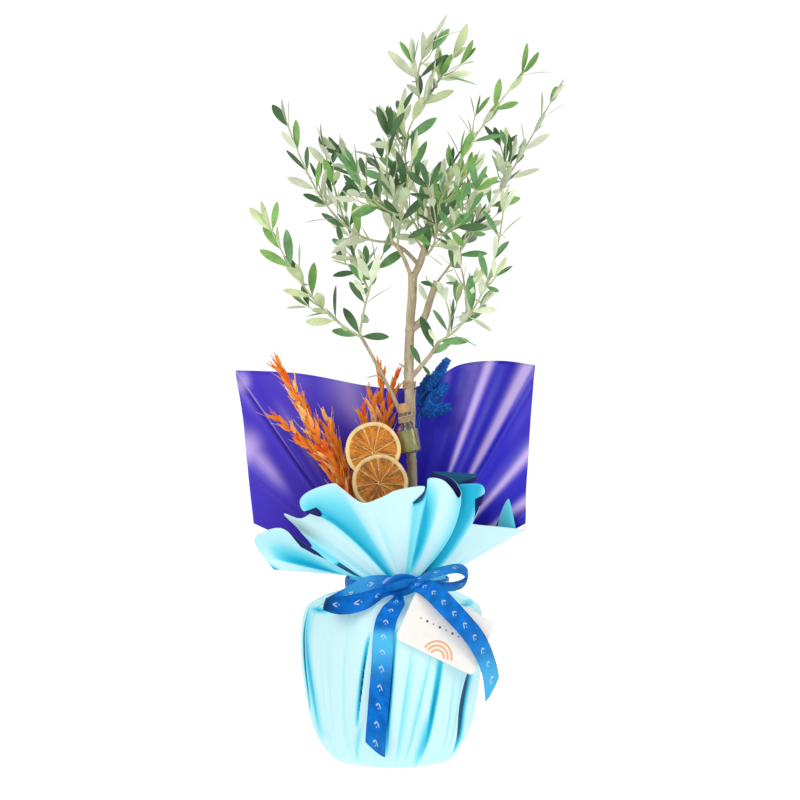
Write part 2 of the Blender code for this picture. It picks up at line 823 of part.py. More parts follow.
def make_ribbon(behind_front, behind_right):
    """The band round the neck, the knot, two loops and two tails."""
    half = BAND_HALF
    pleats = turned(
        (
            (BAND_RADIUS, NECK_HEIGHT - half),
            (BAND_RADIUS + 1.4, NECK_HEIGHT - half),
            (BAND_RADIUS + 2.0, NECK_HEIGHT),
            (BAND_RADIUS + 1.4, NECK_HEIGHT + half),
            (BAND_RADIUS, NECK_HEIGHT + half),
            (BAND_RADIUS, NECK_HEIGHT - half),
        ),
        24,
    )
    bmesh.ops.translate(pleats, vec=(NECK_SHIFT, 0.0, 0.0), verts=pleats.verts)
    finished("ribbon_band", pleats, "satin_ribbon")

    finished("ribbon_knot", knot_shape(), "satin_ribbon")
    upright = (0.1, 0.35, 0.93)
    left = (
        (3, -60, 181),
        (-8, -61, 181),
        (-26, -62, 181),
        (-48, -68, 174),
        (-63, -79, 166),
        (-62, -89, 160),
        (-46, -90, 157),
        (-24, -82, 160),
        (-9, -66, 169),
        (4, -59, 171.5),
    )
    loop = strip("ribbon_loop_left", [(Vector(place), upright) for place in left], 22, True)
    level = (0.1, 0.85, 0.5)
    right = (
        (15, -60, 183),
        (26, -62, 187),
        (38, -63, 191),
        (52, -62, 195),
        (66, -62, 195),
        (72, -62, 188),
        (66, -64, 180),
        (50, -65, 178),
        (28, -63, 179),
        (15, -60, 178),
    )
    second_loop = strip("ribbon_loop_right", [(Vector(place), level) for place in right], 22, True)
    front = [
        ((8, -64, 167), (1.0, 0.0, 0.06)),
        ((3, -80, 161), (1.0, 0.0, 0.0)),
        ((-6, -86, 147), (1.0, 0.0, -0.08)),
        ((-8, -90, 128), (1.0, 0.0, 0.0)),
        ((-9, -90, 108), (1.0, 0.0, 0.06)),
        ((-11, -90, 84), (1.0, 0.0, 0.05)),
        ((-13, -89, 60), (1.0, 0.05, 0.1)),
        ((-16, -88, 28), (1.0, 0.1, 0.2)),
    ]
    strip("ribbon_tail_front", laid_on(front, behind_front + [tree_of(loop)], 0.9, 16), 15, False)
    side = [
        ((15, -61, 172), (0.8, 0.1, 0.4)),
        ((18, -78, 173), (0.8, 0.1, 0.45)),
        ((23, -90, 171), (0.8, 0.1, 0.5)),
        ((32, -91, 163), (0.8, 0.25, 0.55)),
        ((42, -88, 152), (0.8, 0.3, 0.55)),
        ((55, -78, 132), (0.8, 0.35, 0.5)),
        ((72, -72, 116), (0.8, 0.4, 0.4)),
        ((86, -64, 100), (0.85, 0.4, 0.3)),
        ((93, -60, 78), (0.9, 0.4, 0.1)),
    ]
    strip("ribbon_tail_right", laid_on(side, behind_right + [tree_of(second_loop)], 0.9, 16), 15, False)


def make_tag(bag):
    """The card tag, with rounded corners, leaning on the bag's front right."""
    length, width, thickness = TAG_SIZE
    shape = bmesh.new()
    bmesh.ops.create_cube(shape, size=1.0)
    bmesh.ops.scale(shape, vec=(length, thickness, width), verts=shape.verts)
    upright = [edge for edge in shape.edges if abs(edge.verts[0].co.y - edge.verts[1].co.y) > thickness / 2.0]
    bmesh.ops.bevel(
        shape,
        geom=upright,
        offset=TAG_CORNER,
        offset_type="OFFSET",
        affect="EDGES",
        segments=4,
        profile=0.5,
        material=-1,
    )
    # Turned in its own plane, leaned back at the top, then swung round to the right.
    turn = (
        Matrix.Rotation(math.radians(18.0), 3, "Z")
        @ Matrix.Rotation(math.radians(-6.0), 3, "X")
        @ Matrix.Rotation(math.radians(27.0), 3, "Y")
    )
    bmesh.ops.rotate(shape, cent=(0.0, 0.0, 0.0), matrix=turn, verts=shape.verts)
    bmesh.ops.translate(shape, vec=(70.0, -140.0, 136.0), verts=shape.verts)
    inwards = Vector((-0.31, 0.95, 0.0)).normalized()
    free = distance_along(shape, bag, inwards)
    bmesh.ops.translate(shape, vec=inwards * (free - 2.0 * CLEARANCE), verts=shape.verts)
    return finished("gift_tag", shape, "white_card")


def distance_along(shape, target, direction):
    """How far a shape can slide along a direction before it meets an object."""
    found = []
    target_tree = tree_of(target)
    for vert in shape.verts:
        found.append(target_tree.ray_cast(vert.co, direction)[3])
    shape_tree = BVHTree.FromBMesh(shape)
    for vert in target.data.vertices:
        found.append(shape_tree.ray_cast(vert.co / MM, -direction)[3])
    return min(distance for distance in found if distance is not None)


# ---------------------------------------------------------------- trimmings


def make_slice(name, place):
    """A dried orange slice with a thicker rind, standing on its edge."""
    centre, radius = place
    half = SLICE_THICKNESS / 2.0
    shape = turned(
        (
            (0.0, -half * 0.7),
            (radius * 0.85, -half * 0.7),
            (radius - 2.0, -half),
            (radius, -half * 0.4),
            (radius, half * 0.4),
            (radius - 2.0, half),
            (radius * 0.85, half * 0.7),
            (0.0, half * 0.7),
        ),
        20,
    )
    bmesh.ops.rotate(shape, cent=(0.0, 0.0, 0.0), matrix=slice_turn(), verts=shape.verts)
    bmesh.ops.translate(shape, vec=centre, verts=shape.verts)
    finished(name, shape, "dried_orange")


def slice_turn():
    """The turn that faces a flat slice to the front and leans it back."""
    return Matrix.Rotation(math.radians(90.0 - SLICE_TILT), 3, "X")


def make_pick(name, place, foot):
    """The wooden pick that holds a slice up from the soil, behind the slice."""
    centre, radius = place
    back = Vector((0.0, math.cos(math.radians(SLICE_TILT)), -math.sin(math.radians(SLICE_TILT))))
    top = centre + back * (SLICE_THICKNESS / 2.0 + CLEARANCE + PICK_RADIUS + 0.1)
    down = Vector((0.0, -math.sin(math.radians(SLICE_TILT)), -math.cos(math.radians(SLICE_TILT))))
    edge = top + down * (radius + 4.0)
    points = [Vector(foot), Vector(foot).lerp(edge, 0.5), edge, top]
    finished(name, sweep(points, [PICK_RADIUS] * len(points), 6), "pale_wood")


def blade(root, along, face, length, width, thickness, stalk):
    """A pointed solid of eight faces: its back has a keel, and its foot is an edge."""
    across = along.cross(face).normalized()
    wide = root + along * length * 0.55
    foot = root - along * 0.15
    return hull((
        foot + face * stalk,
        foot - face * stalk,
        wide + across * width / 2.0,
        wide - across * width / 2.0,
        wide - face * thickness,
        root + along * length,
    ))


def make_oats(name, spray):
    """Dried oat stems, with spikelets that spread from the upper half of each."""
    chance = random.Random(spray.seed)
    shapes = []
    for stem in spray.stems:
        path = smooth_path(stem, 9)
        radii = [1.3 - 0.5 * index / 8.0 for index in range(9)]
        shapes.append(sweep(path, radii, 3))
        turn = chance.uniform(0.0, FULL_TURN)
        for index in range(spray.spikelets):
            share = 0.52 + 0.46 * index / (spray.spikelets - 1)
            root = through(stem, share)
            along = (through(stem, min(share + 0.02, 1.0)) - through(stem, share - 0.02)).normalized()
            turn += math.radians(137.5)
            out = Matrix.Rotation(turn, 3, along) @ along.orthogonal().normalized()
            lean = math.radians(chance.uniform(18.0, 34.0))
            pointing = (along * math.cos(lean) + out * math.sin(lean)).normalized()
            face = (along - pointing * along.dot(pointing)).normalized()
            length = spray.length * chance.uniform(0.85, 1.1)
            shapes.append(blade(root, pointing, face, length, 4.6, 1.8, 0.3))
    return joined_by_union(name, shapes, "dyed_oats")


def make_blue_heads():
    """Dyed seed heads on thin stems that stand behind the trunk."""
    for number, head in enumerate(BLUE_HEADS, start=1):
        root = Vector(head.root)
        tip = Vector(head.tip)
        swell = (0.3, 0.85, 1.0, 0.85, 0.15)
        stem = smooth_path(list(head.stem) + [head.root], 6)[:-1]
        points = stem + [root.lerp(tip, index / (len(swell) - 1)) for index in range(len(swell))]
        radii = [0.9] * len(stem) + [head.radius * share for share in swell]
        finished(f"blue_head_{number}", sweep(points, radii, 6), "dyed_seed_heads")


def bottle_place():
    """The turn and the move that put the bottle's upright shapes at the trunk."""
    turn = Matrix.Rotation(math.radians(-BOTTLE_TILT), 4, "Y")
    return Matrix.Translation(BOTTLE_FOOT) @ turn


def make_bottle():
    """The corked bottle of oil, with its glass, its oil and its cork."""
    outer = BOTTLE_RADIUS
    wall = BOTTLE_WALL
    neck = BOTTLE_NECK_RADIUS
    glass = turned(
        (
            (0.0, 0.0),
            (outer - 1.5, 0.0),
            (outer, 1.5),
            (outer, BOTTLE_BODY - 3.0),
            (outer - 2.5, BOTTLE_BODY),
            (neck, BOTTLE_BODY + 3.5),
            (neck, BOTTLE_HEIGHT - 3.0),
            (neck + 1.2, BOTTLE_HEIGHT - 2.5),
            (neck + 1.2, BOTTLE_HEIGHT),
            (neck - wall, BOTTLE_HEIGHT),
            (neck - wall, BOTTLE_BODY + 3.5),
            (outer - 2.5 - wall, BOTTLE_BODY - 1.5),
            (outer - wall, BOTTLE_BODY - 3.5),
            (outer - wall, wall + 1.0),
            (outer - wall - 1.0, wall),
            (0.0, wall),
        ),
        14,
    )
    oil_radius = outer - wall - CLEARANCE
    oil = turned(
        (
            (0.0, wall + CLEARANCE),
            (oil_radius - 1.0, wall + CLEARANCE),
            (oil_radius, wall + CLEARANCE + 1.0),
            (oil_radius, OIL_LEVEL - 1.5),
            (oil_radius - 0.5, OIL_LEVEL - 0.5),
            (0.0, OIL_LEVEL - 0.5),
        ),
        14,
    )
    cork_radius = neck - wall - CLEARANCE
    cork = turned(
        (
            (0.0, BOTTLE_HEIGHT - 7.0),
            (cork_radius - 0.5, BOTTLE_HEIGHT - 7.0),
            (cork_radius, BOTTLE_HEIGHT + CLEARANCE),
            (cork_radius + 1.6, BOTTLE_HEIGHT + CLEARANCE),
            (cork_radius + 2.0, CORK_TOP - 0.8),
            (cork_radius + 1.2, CORK_TOP),
            (0.0, CORK_TOP),
        ),
        12,
    )
    for name, shape, finish in (
        ("oil_bottle", glass, "clear_glass"),
        ("oil_fill", oil, "olive_oil"),
        ("bottle_cork", cork, "cork"),
    ):
        bmesh.ops.transform(shape, matrix=bottle_place(), verts=shape.verts)
        finished(name, shape, finish)


def torus(centre, normal, radius, thickness, steps, sides):
    """A ring of round section."""
    shape = bmesh.new()
    circle = bmesh.ops.create_circle(shape, segments=sides, radius=thickness)["verts"]
    bmesh.ops.rotate(shape, cent=(0, 0, 0), matrix=Matrix.Rotation(math.pi / 2.0, 3, "X"), verts=circle)
    bmesh.ops.translate(shape, vec=(radius, 0.0, 0.0), verts=circle)
    bmesh.ops.spin(
        shape,
        geom=circle + shape.edges[:],
        axis=(0.0, 0.0, 1.0),
        cent=(0.0, 0.0, 0.0),
        angle=FULL_TURN,
        steps=steps,
        use_merge=True,
    )
    bmesh.ops.remove_doubles(shape, verts=shape.verts, dist=0.001)
    turn = Vector((0.0, 0.0, 1.0)).rotation_difference(Vector(normal)).to_matrix()
    bmesh.ops.rotate(shape, cent=(0.0, 0.0, 0.0), matrix=turn, verts=shape.verts)
    bmesh.ops.translate(shape, vec=centre, verts=shape.verts)
    bmesh.ops.recalc_face_normals(shape, faces=shape.faces)
    return shape


def make_twine():
    """Jute twine: one turn round the bottle's neck, one round the trunk, and a strand."""
    place = bottle_place()
    up = place.to_3x3() @ Vector((0.0, 0.0, 1.0))
    neck_height = BOTTLE_BODY + 7.5
    neck = place @ Vector((0.0, 0.0, neck_height))
    neck_radius = BOTTLE_NECK_RADIUS + CLEARANCE + TWINE_RADIUS + 0.1
    trunk = through(LIMBS["trunk"].points, 0.475)
    trunk_radius = 4.8 + 2.0 * CLEARANCE + TWINE_RADIUS + 0.4
    lean = Vector((-0.03, 0.0, 1.0)).normalized()
    strand = [
        neck + Vector((neck_radius + 0.4, 1.0, 0.0)),
        neck + Vector((neck_radius + 2.4, 2.0, 6.0)),
        trunk + Vector((trunk_radius * 0.75, -trunk_radius * 0.66, 0.0)),
    ]
    shapes = [
        torus(neck, up, neck_radius, TWINE_RADIUS, 14, 4),
        torus(trunk, lean, trunk_radius, TWINE_RADIUS, 14, 4),
        sweep(smooth_path(strand, 6), [TWINE_RADIUS] * 6, 4),
    ]
    joined_by_union("jute_twine", shapes, "jute")


# ---------------------------------------------------------------- tree


def limb_shape(name, extra=0.0):
    """The tube of a limb, made wider and longer by a margin where it is a cutter."""
    limb = LIMBS[name]
    count = 2 * (len(limb.points) - 1) + 1
    points = smooth_path(limb.points, count)
    radii = [between(limb.radii, index / (count - 1)) + extra for index in range(count)]
    if extra:
        points[-1] = points[-1] + (points[-1] - points[-2]).normalized() * extra
        points[0] = points[0] + (points[0] - points[1]).normalized() * extra
    return sweep(points, radii, limb.sides)


def make_limbs():
    """The trunk and the boughs, each cut clear of the limb that it grows from."""
    for name, limb in LIMBS.items():
        made = finished(name, limb_shape(name), "bark")
        for parent in limb.grows_from:
            cut_away(made, limb_shape(parent, CLEARANCE))


def plan_shoots(mass):
    """Each shoot's root and its curve, as a function of the share of its length."""
    curves = []
    for shoot in mass.shoots:
        if shoot.parent < 0:
            root = through(LIMBS[mass.limb].points, shoot.at)
        else:
            root = curves[shoot.parent](shoot.at)

        def curve(share, root=root, shoot=shoot):
            return bow(root, shoot.via, shoot.tip, share)

        curves.append(curve)
    return curves


def curve_length(curve):
    """The length of a curve, to a tenth of a millimetre."""
    steps = [curve(index / 20.0) for index in range(21)]
    return sum((second - first).length for first, second in zip(steps, steps[1:]))


def twig_shape(curve, extra=0.0):
    """The three-sided tube of a shoot, made wider by a margin where it is a test."""
    count = max(5, round(curve_length(curve) / 20.0) + 2)
    points = [curve(index / (count - 1)) for index in range(count)]
    fall = TWIG_ROOT_RADIUS - TWIG_TIP_RADIUS
    radii = [TWIG_ROOT_RADIUS - fall * index / (count - 1) + extra for index in range(count)]
    return sweep(points, radii, 3)


def leaf_places(curve, shoot, chance):
    """Where each leaf of a shoot sits: its root, direction, face and length.

    Leaves stand in opposite pairs, each pair turned a right angle from the last.  They
    open wide near the shoot's foot, close up towards its tip, and end in a last leaf.
    """
    pairs = max(2, round(curve_length(curve) * 0.9 / INTERNODE))
    places = []
    side = None
    for index in range(pairs):
        share = 0.12 + 0.86 * index / (pairs - 1)
        root = curve(share)
        along = (curve(min(share + 0.02, 1.0)) - curve(share - 0.02)).normalized()
        side = along.orthogonal() if side is None else side
        side = (side - along * side.dot(along)).normalized()
        turn = math.radians(shoot.roll + 90.0 * index + chance.uniform(-14.0, 14.0))
        open_angle = 52.0 - 26.0 * share
        for half in (0.0, math.pi):
            out = Matrix.Rotation(turn + half, 3, along) @ side
            lean = math.radians(open_angle + chance.uniform(-9.0, 9.0))
            pointing = along * math.cos(lean) + out * math.sin(lean)
            face = (along - pointing * along.dot(pointing)).normalized()
            length = shoot.leaf * (1.04 - 0.2 * share) * chance.uniform(0.86, 1.12)
            places.append((root, pointing, face, length))
    places.append((curve(0.985), along, side, shoot.leaf * 0.95))
    return places


def leaf_shape(place, extra=0.0):
    """The blade of one leaf, made larger by a margin where it is a test."""
    root, pointing, face, length = place
    width = length * LEAF_SLENDERNESS + 2.0 * extra
    if extra:
        root = root - pointing * extra + face * extra
    return blade(root, pointing, face, length + 2.0 * extra, width, LEAF_THICKNESS + 2.0 * extra, STALK)


def tree_and_free(shape):
    """A search tree over a test shape, which is then dropped."""
    tree = BVHTree.FromBMesh(shape)
    shape.free()
    return tree


def make_foliage(obstacles):
    """Every mass of leaves, in its own space: a leaf that would touch another is left out."""
    limb_trees = {name: tree_and_free(limb_shape(name, CLEARANCE)) for name in LIMBS}
    curves = {name: plan_shoots(mass) for name, mass in MASSES.items()}
    twig_trees = {
        name: [tree_and_free(twig_shape(curve, CLEARANCE)) for curve in curves[name]] for name in MASSES
    }
    grown = []
    for name, mass in MASSES.items():
        chance = random.Random(mass.seed)
        blocked = list(obstacles) + list(limb_trees.values()) + grown
        for other, trees in twig_trees.items():
            if other != name:
                blocked += trees
        shapes = [twig_shape(curve) for curve in curves[name]]
        kept = []
        for curve, shoot in zip(curves[name], mass.shoots):
            for place in leaf_places(curve, shoot, chance):
                tree = tree_and_free(leaf_shape(place, CLEARANCE))
                if not touches(tree, blocked):
                    kept.append(tree)
                    shapes.append(leaf_shape(place))
        made = joined_by_union(name, shapes, "olive_leaf")
        cut_away(made, limb_shape(mass.limb, CLEARANCE))
        grown += kept


def clear_scene():
    """Start from an empty scene."""
    for old in list(bpy.data.objects):
        bpy.data.objects.remove(old)


def main():
    """Build every piece."""
    clear_scene()
    make_pot()
    bag = make_bag()
    make_collar()
    backing = make_backing()
    tag = make_tag(bag)
    make_ribbon([tree_of(bag)], [tree_of(bag), tree_of(tag)])
    for name, place, foot in (("upper", ORANGE_UPPER, (-10, -20)), ("lower", ORANGE_LOWER, (-4, -30))):
        make_slice(f"orange_slice_{name}", place)
        make_pick(f"slice_pick_{name}", place, (*foot, SOIL_TOP + CLEARANCE + 0.2))
    for name, spray in OATS.items():
        make_oats(name, spray)
    make_blue_heads()
    make_bottle()
    make_twine()
    make_limbs()
    make_foliage([tree_of(backing)])


main()
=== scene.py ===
"""The dressed model of a young olive tree, wrapped as a gift, and its studio.

The packed frame is loaded first.  Each operator below makes one piece or a group of like
pieces over it: the soil, the film, the purple sheet, the ribbon, the tag, the trimmings,
the bark and the leaves.  Sizes are in millimetres and become metres when a mesh is made.
The origin is the middle of the flat underside, +Z is up and the front faces -Y.
Azimuths are in degrees, 0 at +X and 90 at +Y.
"""

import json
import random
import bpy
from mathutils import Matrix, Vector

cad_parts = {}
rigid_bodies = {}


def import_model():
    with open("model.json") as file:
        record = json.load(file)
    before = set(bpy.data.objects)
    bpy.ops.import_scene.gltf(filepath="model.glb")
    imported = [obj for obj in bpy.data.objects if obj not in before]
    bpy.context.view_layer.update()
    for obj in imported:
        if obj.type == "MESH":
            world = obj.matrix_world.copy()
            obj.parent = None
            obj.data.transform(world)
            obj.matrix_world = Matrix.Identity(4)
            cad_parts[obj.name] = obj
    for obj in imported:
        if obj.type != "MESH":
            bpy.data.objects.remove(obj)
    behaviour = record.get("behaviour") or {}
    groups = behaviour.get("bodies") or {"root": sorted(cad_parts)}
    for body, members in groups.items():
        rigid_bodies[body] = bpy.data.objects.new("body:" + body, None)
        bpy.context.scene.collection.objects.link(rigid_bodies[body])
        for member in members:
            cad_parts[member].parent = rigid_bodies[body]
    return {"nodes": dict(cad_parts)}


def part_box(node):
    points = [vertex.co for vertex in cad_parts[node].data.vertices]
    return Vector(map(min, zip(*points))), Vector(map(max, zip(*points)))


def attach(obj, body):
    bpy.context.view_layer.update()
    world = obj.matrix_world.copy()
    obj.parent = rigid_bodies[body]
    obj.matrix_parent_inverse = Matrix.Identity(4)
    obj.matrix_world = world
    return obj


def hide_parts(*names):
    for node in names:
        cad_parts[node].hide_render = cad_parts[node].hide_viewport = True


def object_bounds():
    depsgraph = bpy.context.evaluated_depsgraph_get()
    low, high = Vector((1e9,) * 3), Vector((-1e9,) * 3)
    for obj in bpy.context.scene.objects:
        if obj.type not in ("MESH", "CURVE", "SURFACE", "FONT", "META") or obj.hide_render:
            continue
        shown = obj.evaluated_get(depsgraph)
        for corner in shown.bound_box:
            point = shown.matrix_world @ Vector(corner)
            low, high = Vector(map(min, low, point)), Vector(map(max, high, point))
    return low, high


bl_info = {
    "name": "Wrapped Olive Tree",
    "version": (1, 0, 0),
    "blender": (4, 5, 0),
    "location": "3D View > Sidebar > Olive Tree",
    "description": "Film, ribbon, trimmings, bark and leaves for a young olive tree in a pot",
    "category": "Add Mesh",
}

from collections import namedtuple
from functools import partial
from math import atan2, cos, exp, pi, radians, sin

import bmesh
import bpy
import numpy as np
from bpy.props import FloatProperty, FloatVectorProperty, IntProperty, PointerProperty
from mathutils import Matrix, Vector
from mathutils.bvhtree import BVHTree
from mathutils.noise import noise

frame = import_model()
CAD_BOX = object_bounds()

MM = 0.001
FULL_TURN = 2 * pi
GOLDEN_ANGLE = radians(137.5)
X, Y, Z = (Vector(axis) for axis in ((1, 0, 0), (0, 1, 0), (0, 0, 1)))

# ---- pot and film sizes

POT_FOOT_RADIUS = 56
POT_RIM_RADIUS = 76
POT_TOP = 141.1
POT_FLOOR = 3.1
SOIL_TOP = 135.1
NECK_HEIGHT = 174
NECK_RADIUS = 47
NECK_SHIFT = 4
BAND_HALF = 5
BAND_RADIUS = 50.4
BAG_FOOT_RADIUS = 57
# Height and radius of the film from the edge of its flat underside to the ribbon.
BAG_OUTLINE = (
    (0, BAG_FOOT_RADIUS), (1.2, 60.5), (4, 63.7), (28, 78.7), (60, 85.8), (105, 91.2),
    (145, 89.2), (157, 78.8), (164, 58), (167, 47.5), (174, 47),
)

# A crease runs up the bag from a foot to a top: its azimuths there, how far it bows off the
# straight way between them, its heights, its width in degrees, its depth and how dark the
# painted shade in it is.  A minus width has its steep side left.
Crease = namedtuple("Crease", "foot_azimuth bend top_azimuth foot top width depth tint")
CREASES = [Crease(*row) for row in (
    (-31, -8, -30.5, 8, 108, -13, 4.5, 1.35), (-66.5, 1.5, -57.5, 6, 122, 9, 4.5, 1),
    (-114, 0, -103.6, 42, 134, 4.6, 4.5, 1.25), (-123, 0, -110.5, 4, 48, -9, 3, 0.55),
    (-95.4, 0, -88.6, 14, 140, -4.6, 2, 1.2), (-168, 0, -168.5, 46, 153, -8, 3, 1.4),
    (-157, -1.5, -164, 20, 151, -17, 3, 0.9), (-69, 0, -64, 0, 56, 9, 2.6, 0.7),
    (-80, 0, -64.5, 0, 120, 8, 1.6, 0.5), (-88, 0, -78, 0, 124, -12, 1.4, 0.45),
    (-74, 0, -70, 0, 96, -5, 1, 0.28), (-50, 0, -49, 0, 100, -6, 1.4, 0.36),
    (-43, 0, -42, 0, 98, 5, 1.4, 0.38), (-22, 0, -20, 10, 120, 7, 1.6, 0.4),
    (-104, 0, -97, 0, 130, 5, 1.4, 0.3), (-128, 0, -118, 0, 150, -7, 1.3, 0.3),
    (-137, 0, -131, 10, 150, 10, 1.3, 0.24), (-146, 0, -141, 0, 140, -6, 1.2, 0.26),
    (-6, 2, -9, 6, 124, 9, 4, 0.85), (9, 0, 14, 0, 120, -8, 2.6, 0.5),
    (24, -2, 22, 8, 138, -6, 4.5, 1.1), (38, 0, 46, 0, 100, 8, 2.4, 0.45),
    (52, 3, 55, 20, 152, 6, 4, 1), (66, 0, 62, 0, 130, -7, 2, 0.35),
    (80, -3, 83, 6, 150, -7, 5, 1.15), (96, 0, 99, 0, 120, 8, 2.2, 0.4),
    (108, 2, 104, 14, 150, 6, 4.2, 1), (124, 0, 126, 0, 140, -8, 2.2, 0.35),
    (138, -2, 142, 8, 152, -6, 4.8, 1.15), (153, 0, 149, 0, 110, 8, 2.2, 0.4),
    (168, 2, 172, 6, 150, 7, 4, 0.95),
)]

# The collar's edge: x, y, z, the azimuth at which that part leaves the neck, and how deep
# the painted shade of the film is along it, from 0 for the palest to 1 for the deepest.
Station = namedtuple("Station", "x y z azimuth tint")
COLLAR_EDGE = [Station(*row) for row in (
    (133, 2, 226, 2, 0), (105, -28, 231, -18, 0.03), (75, -46, 236, -34, 0.08),
    (68, -40, 246, -38, 1), (79, -56, 259, -42, 0.12), (88, -64, 266, -46, 0.1),
    (84, -61, 275, -51, 0.85), (62, -53, 275, -56, 1.05), (83, -46, 283, -61, 1.25),
    (39, -44, 286, -64, 1.3), (57, -55, 280, -65, 0.4), (66, -67, 268, -67, 0.25),
    (63, -73, 262, -69, 0.45), (56, -79, 272, -71, 0.12), (47, -83, 280, -73, 0),
    (34, -83, 281, -76, 0.3), (32, -76, 271, -78, 0.4), (15, -70, 256, -79.5, 0.5),
    (31, -80, 273, -81, 0.05), (5, -81, 270, -82.5, 0), (-13, -83, 262, -84, 0.12),
    (-30, -82, 258, -86, 0), (-50, -78, 272, -88.5, 0.05), (-58, -76, 276, -90, 0.12),
    (-79, -71, 269, -92, 0.2), (-89, -69, 260, -94.5, 0.3), (-85, -76, 250, -98, 0.35),
    (-74, -67, 252, -102, 0.08), (-89, -56, 241, -107, 0), (-106, -48, 245, -115, 0.05),
    (-94, -30, 230, -126, 0.15), (-79, -42, 214, -135, 0.5), (-89, -56, 214, -143, 0.3),
    (-103, -58, 229, -149, 0), (-116, -52, 231, -155, 0.1), (-135, -38, 221, -163, 0.2),
    (-127, -49, 205, -171, 0.1), (-115, -40, 190, -178, 0), (-112, -5, 200, -186, 0.1),
    (-116, 30, 222, -197, 0.3), (-98, 62, 243, -211, 0.05), (-78, 84, 234, -222, 0.7),
    (-58, 92, 252, -234, 0.1), (-34, 108, 262, -246, 0), (-12, 104, 250, -258, 0.75),
    (10, 116, 264, -270, 0), (34, 106, 252, -282, 0.7), (56, 104, 262, -294, 0.05),
    (76, 86, 246, -306, 0.65), (98, 74, 250, -318, 0), (106, 48, 228, -330, 0.4),
    (124, 14, 227, -342, 0.3), (122, -10, 229, -345, 0.7), (115, -6, 258, -349, 0.5),
    (114, 4, 226, -353, 0.5),
)]
# Parts of the collar that lie smooth low down and curl only at the edge: the station, its
# reach, and the share of the height where the curl starts.
SETTLED = ((26.6, 2.6, 0.62), (17.2, 1.8, 0.86), (53, 1.2, 0.62), (8.2, 1.2, 0.62))
# Parts that bulge half way up: station, reach, and how far along X and Z.
BULGES = ((11.6, 1.8, 11, 0), (5, 1.8, 8, 0), (14.6, 1, 5, 0), (26, 1.6, 0, 8))
# Painted shade in soft folds of the collar: the station of the steep side, the reach on the
# soft side, how deep the painted shade is, and the shares of the height between which it shows.
Fold = namedtuple("Fold", "station reach tint low high")
FOLD_SHADES = [Fold(*row) for row in (
    (25.8, -5, 1.3, -0.3, 1.04), (37.3, -0.9, 2.2, 0.92, 1.08), (37.3, 0.9, 2.2, 0.92, 1.08),
    (36, -2, 1.15, -0.1, 0.9), (31, 1.6, 2.4, 0.03, 0.52), (17.2, -1.7, 2.8, 0.83, 1.1),
    (15.4, -1.6, 1.3, 0.02, 1), (15.4, 0.9, 1.3, 0.02, 1), (12.2, -0.6, 0.6, -0.1, 0.9),
    (6.9, -1.2, 1.15, 0.55, 1.1), (20.6, -1, 0.28, -0.1, 0.95), (2.6, -1.2, 0.4, -0.1, 0.9),
    (28.6, 0.8, 0.3, 0, 0.8), (33, -0.8, 0.45, -0.1, 0.8),
)]
FILM_COLUMNS = 477
# Rows of the film on its underside, up the bag, under the ribbon and up the collar, and
# the share of the way up where each part ends.
FILM_ROWS = (4, 46, 3, 32)
FILM_STEPS = [sum(FILM_ROWS[:part]) / sum(FILM_ROWS) for part in (1, 2, 3, 4)]

# ---- purple sheet

# The sheet's edge from its right foot to its left, and its two top corners in that list.
BACKING_EDGE = (
    (133, 6, 232), (134, 10, 262), (137, 14, 312), (143, 17, 391), (109, 30, 396),
    (68, 42, 392), (38, 50, 374), (7, 52, 368), (-29, 48, 371), (-95, 34, 383),
    (-159, 16, 386), (-151, 14, 336), (-146, 12, 282), (-140, 8, 232),
)
BACKING_CORNERS = (3, 10)
BACKING_FOOT = (31, 16)
BACKING_WAVE = 5
BACKING_WAVES = 7
# Painted highlights in streaks that fan out from the gather: place and half width along the
# edge, how bright, and the shares of the height between which each one shows.
Streak = namedtuple("Streak", "place width strength low high")
STREAKS = [Streak(*row) for row in (
    (0.327, 0.01, 0.95, 0.28, 1.2), (0.35, 0.03, 0.36, 0.5, 1.3), (0.25, 0.014, 1.2, 0.28, 1.3),
    (0.225, 0.014, 0.35, 0.6, 1.3), (0.142, 0.012, 0.9, 0.25, 1.25),
    (0.06, 0.014, 0.8, 0.25, 1.2), (0.19, 0.02, 0.2, 0.6, 1.2), (0.41, 0.016, 0.45, 0.7, 1.1),
    (0.64, 0.03, 0.5, 0.6, 1.3), (0.7, 0.03, 0.24, 0.7, 1.3), (0.735, 0.012, 0.34, 0.3, 0.95),
    (0.772, 0.004, 0.85, 0.35, 1.25), (0.8, 0.02, 0.34, 0.7, 1.3),
    (0.88, 0.026, 0.62, 0.52, 1.25), (0.925, 0.014, 0.16, 0.2, 1.1),
)]
# Ridges stand out to the front and creases go to the back: place, half width, height.
RIDGES = (
    (0.335, 0.022, 3), (0.235, 0.024, 3.5), (0.135, 0.02, 3), (0.03, 0.02, 2.5),
    (0.285, 0.03, -3), (0.215, 0.007, -3.5), (0.185, 0.03, -3), (0.08, 0.03, -2.5),
    (0.77, 0.014, -4), (0.795, 0.012, 2), (0.885, 0.03, 3), (0.912, 0.012, -3),
    (0.645, 0.05, 2.5), (0.41, 0.03, 2),
)
# Soft patches of painted highlight: x, its reach, z, its reach, and how bright.
SHEENS = ((-146, 16, 308, 20, 0.75), (-152, 9, 374, 13, 0.7))

# ---- ribbon and tag

RIBBON_WIDTH = 20
PINCH = 0.45
TAIL_GAP = 0.9
KNOT_CENTRE = Vector((7.5, -60, 177))
KNOT_SIZE = Vector((38, 17, 22))
TAG_LENGTH, TAG_WIDTH, TAG_THICKNESS = 86, 56, 0.8
TAG_TURNS = ((18, "Z"), (-6, "X"), (27, "Y"))
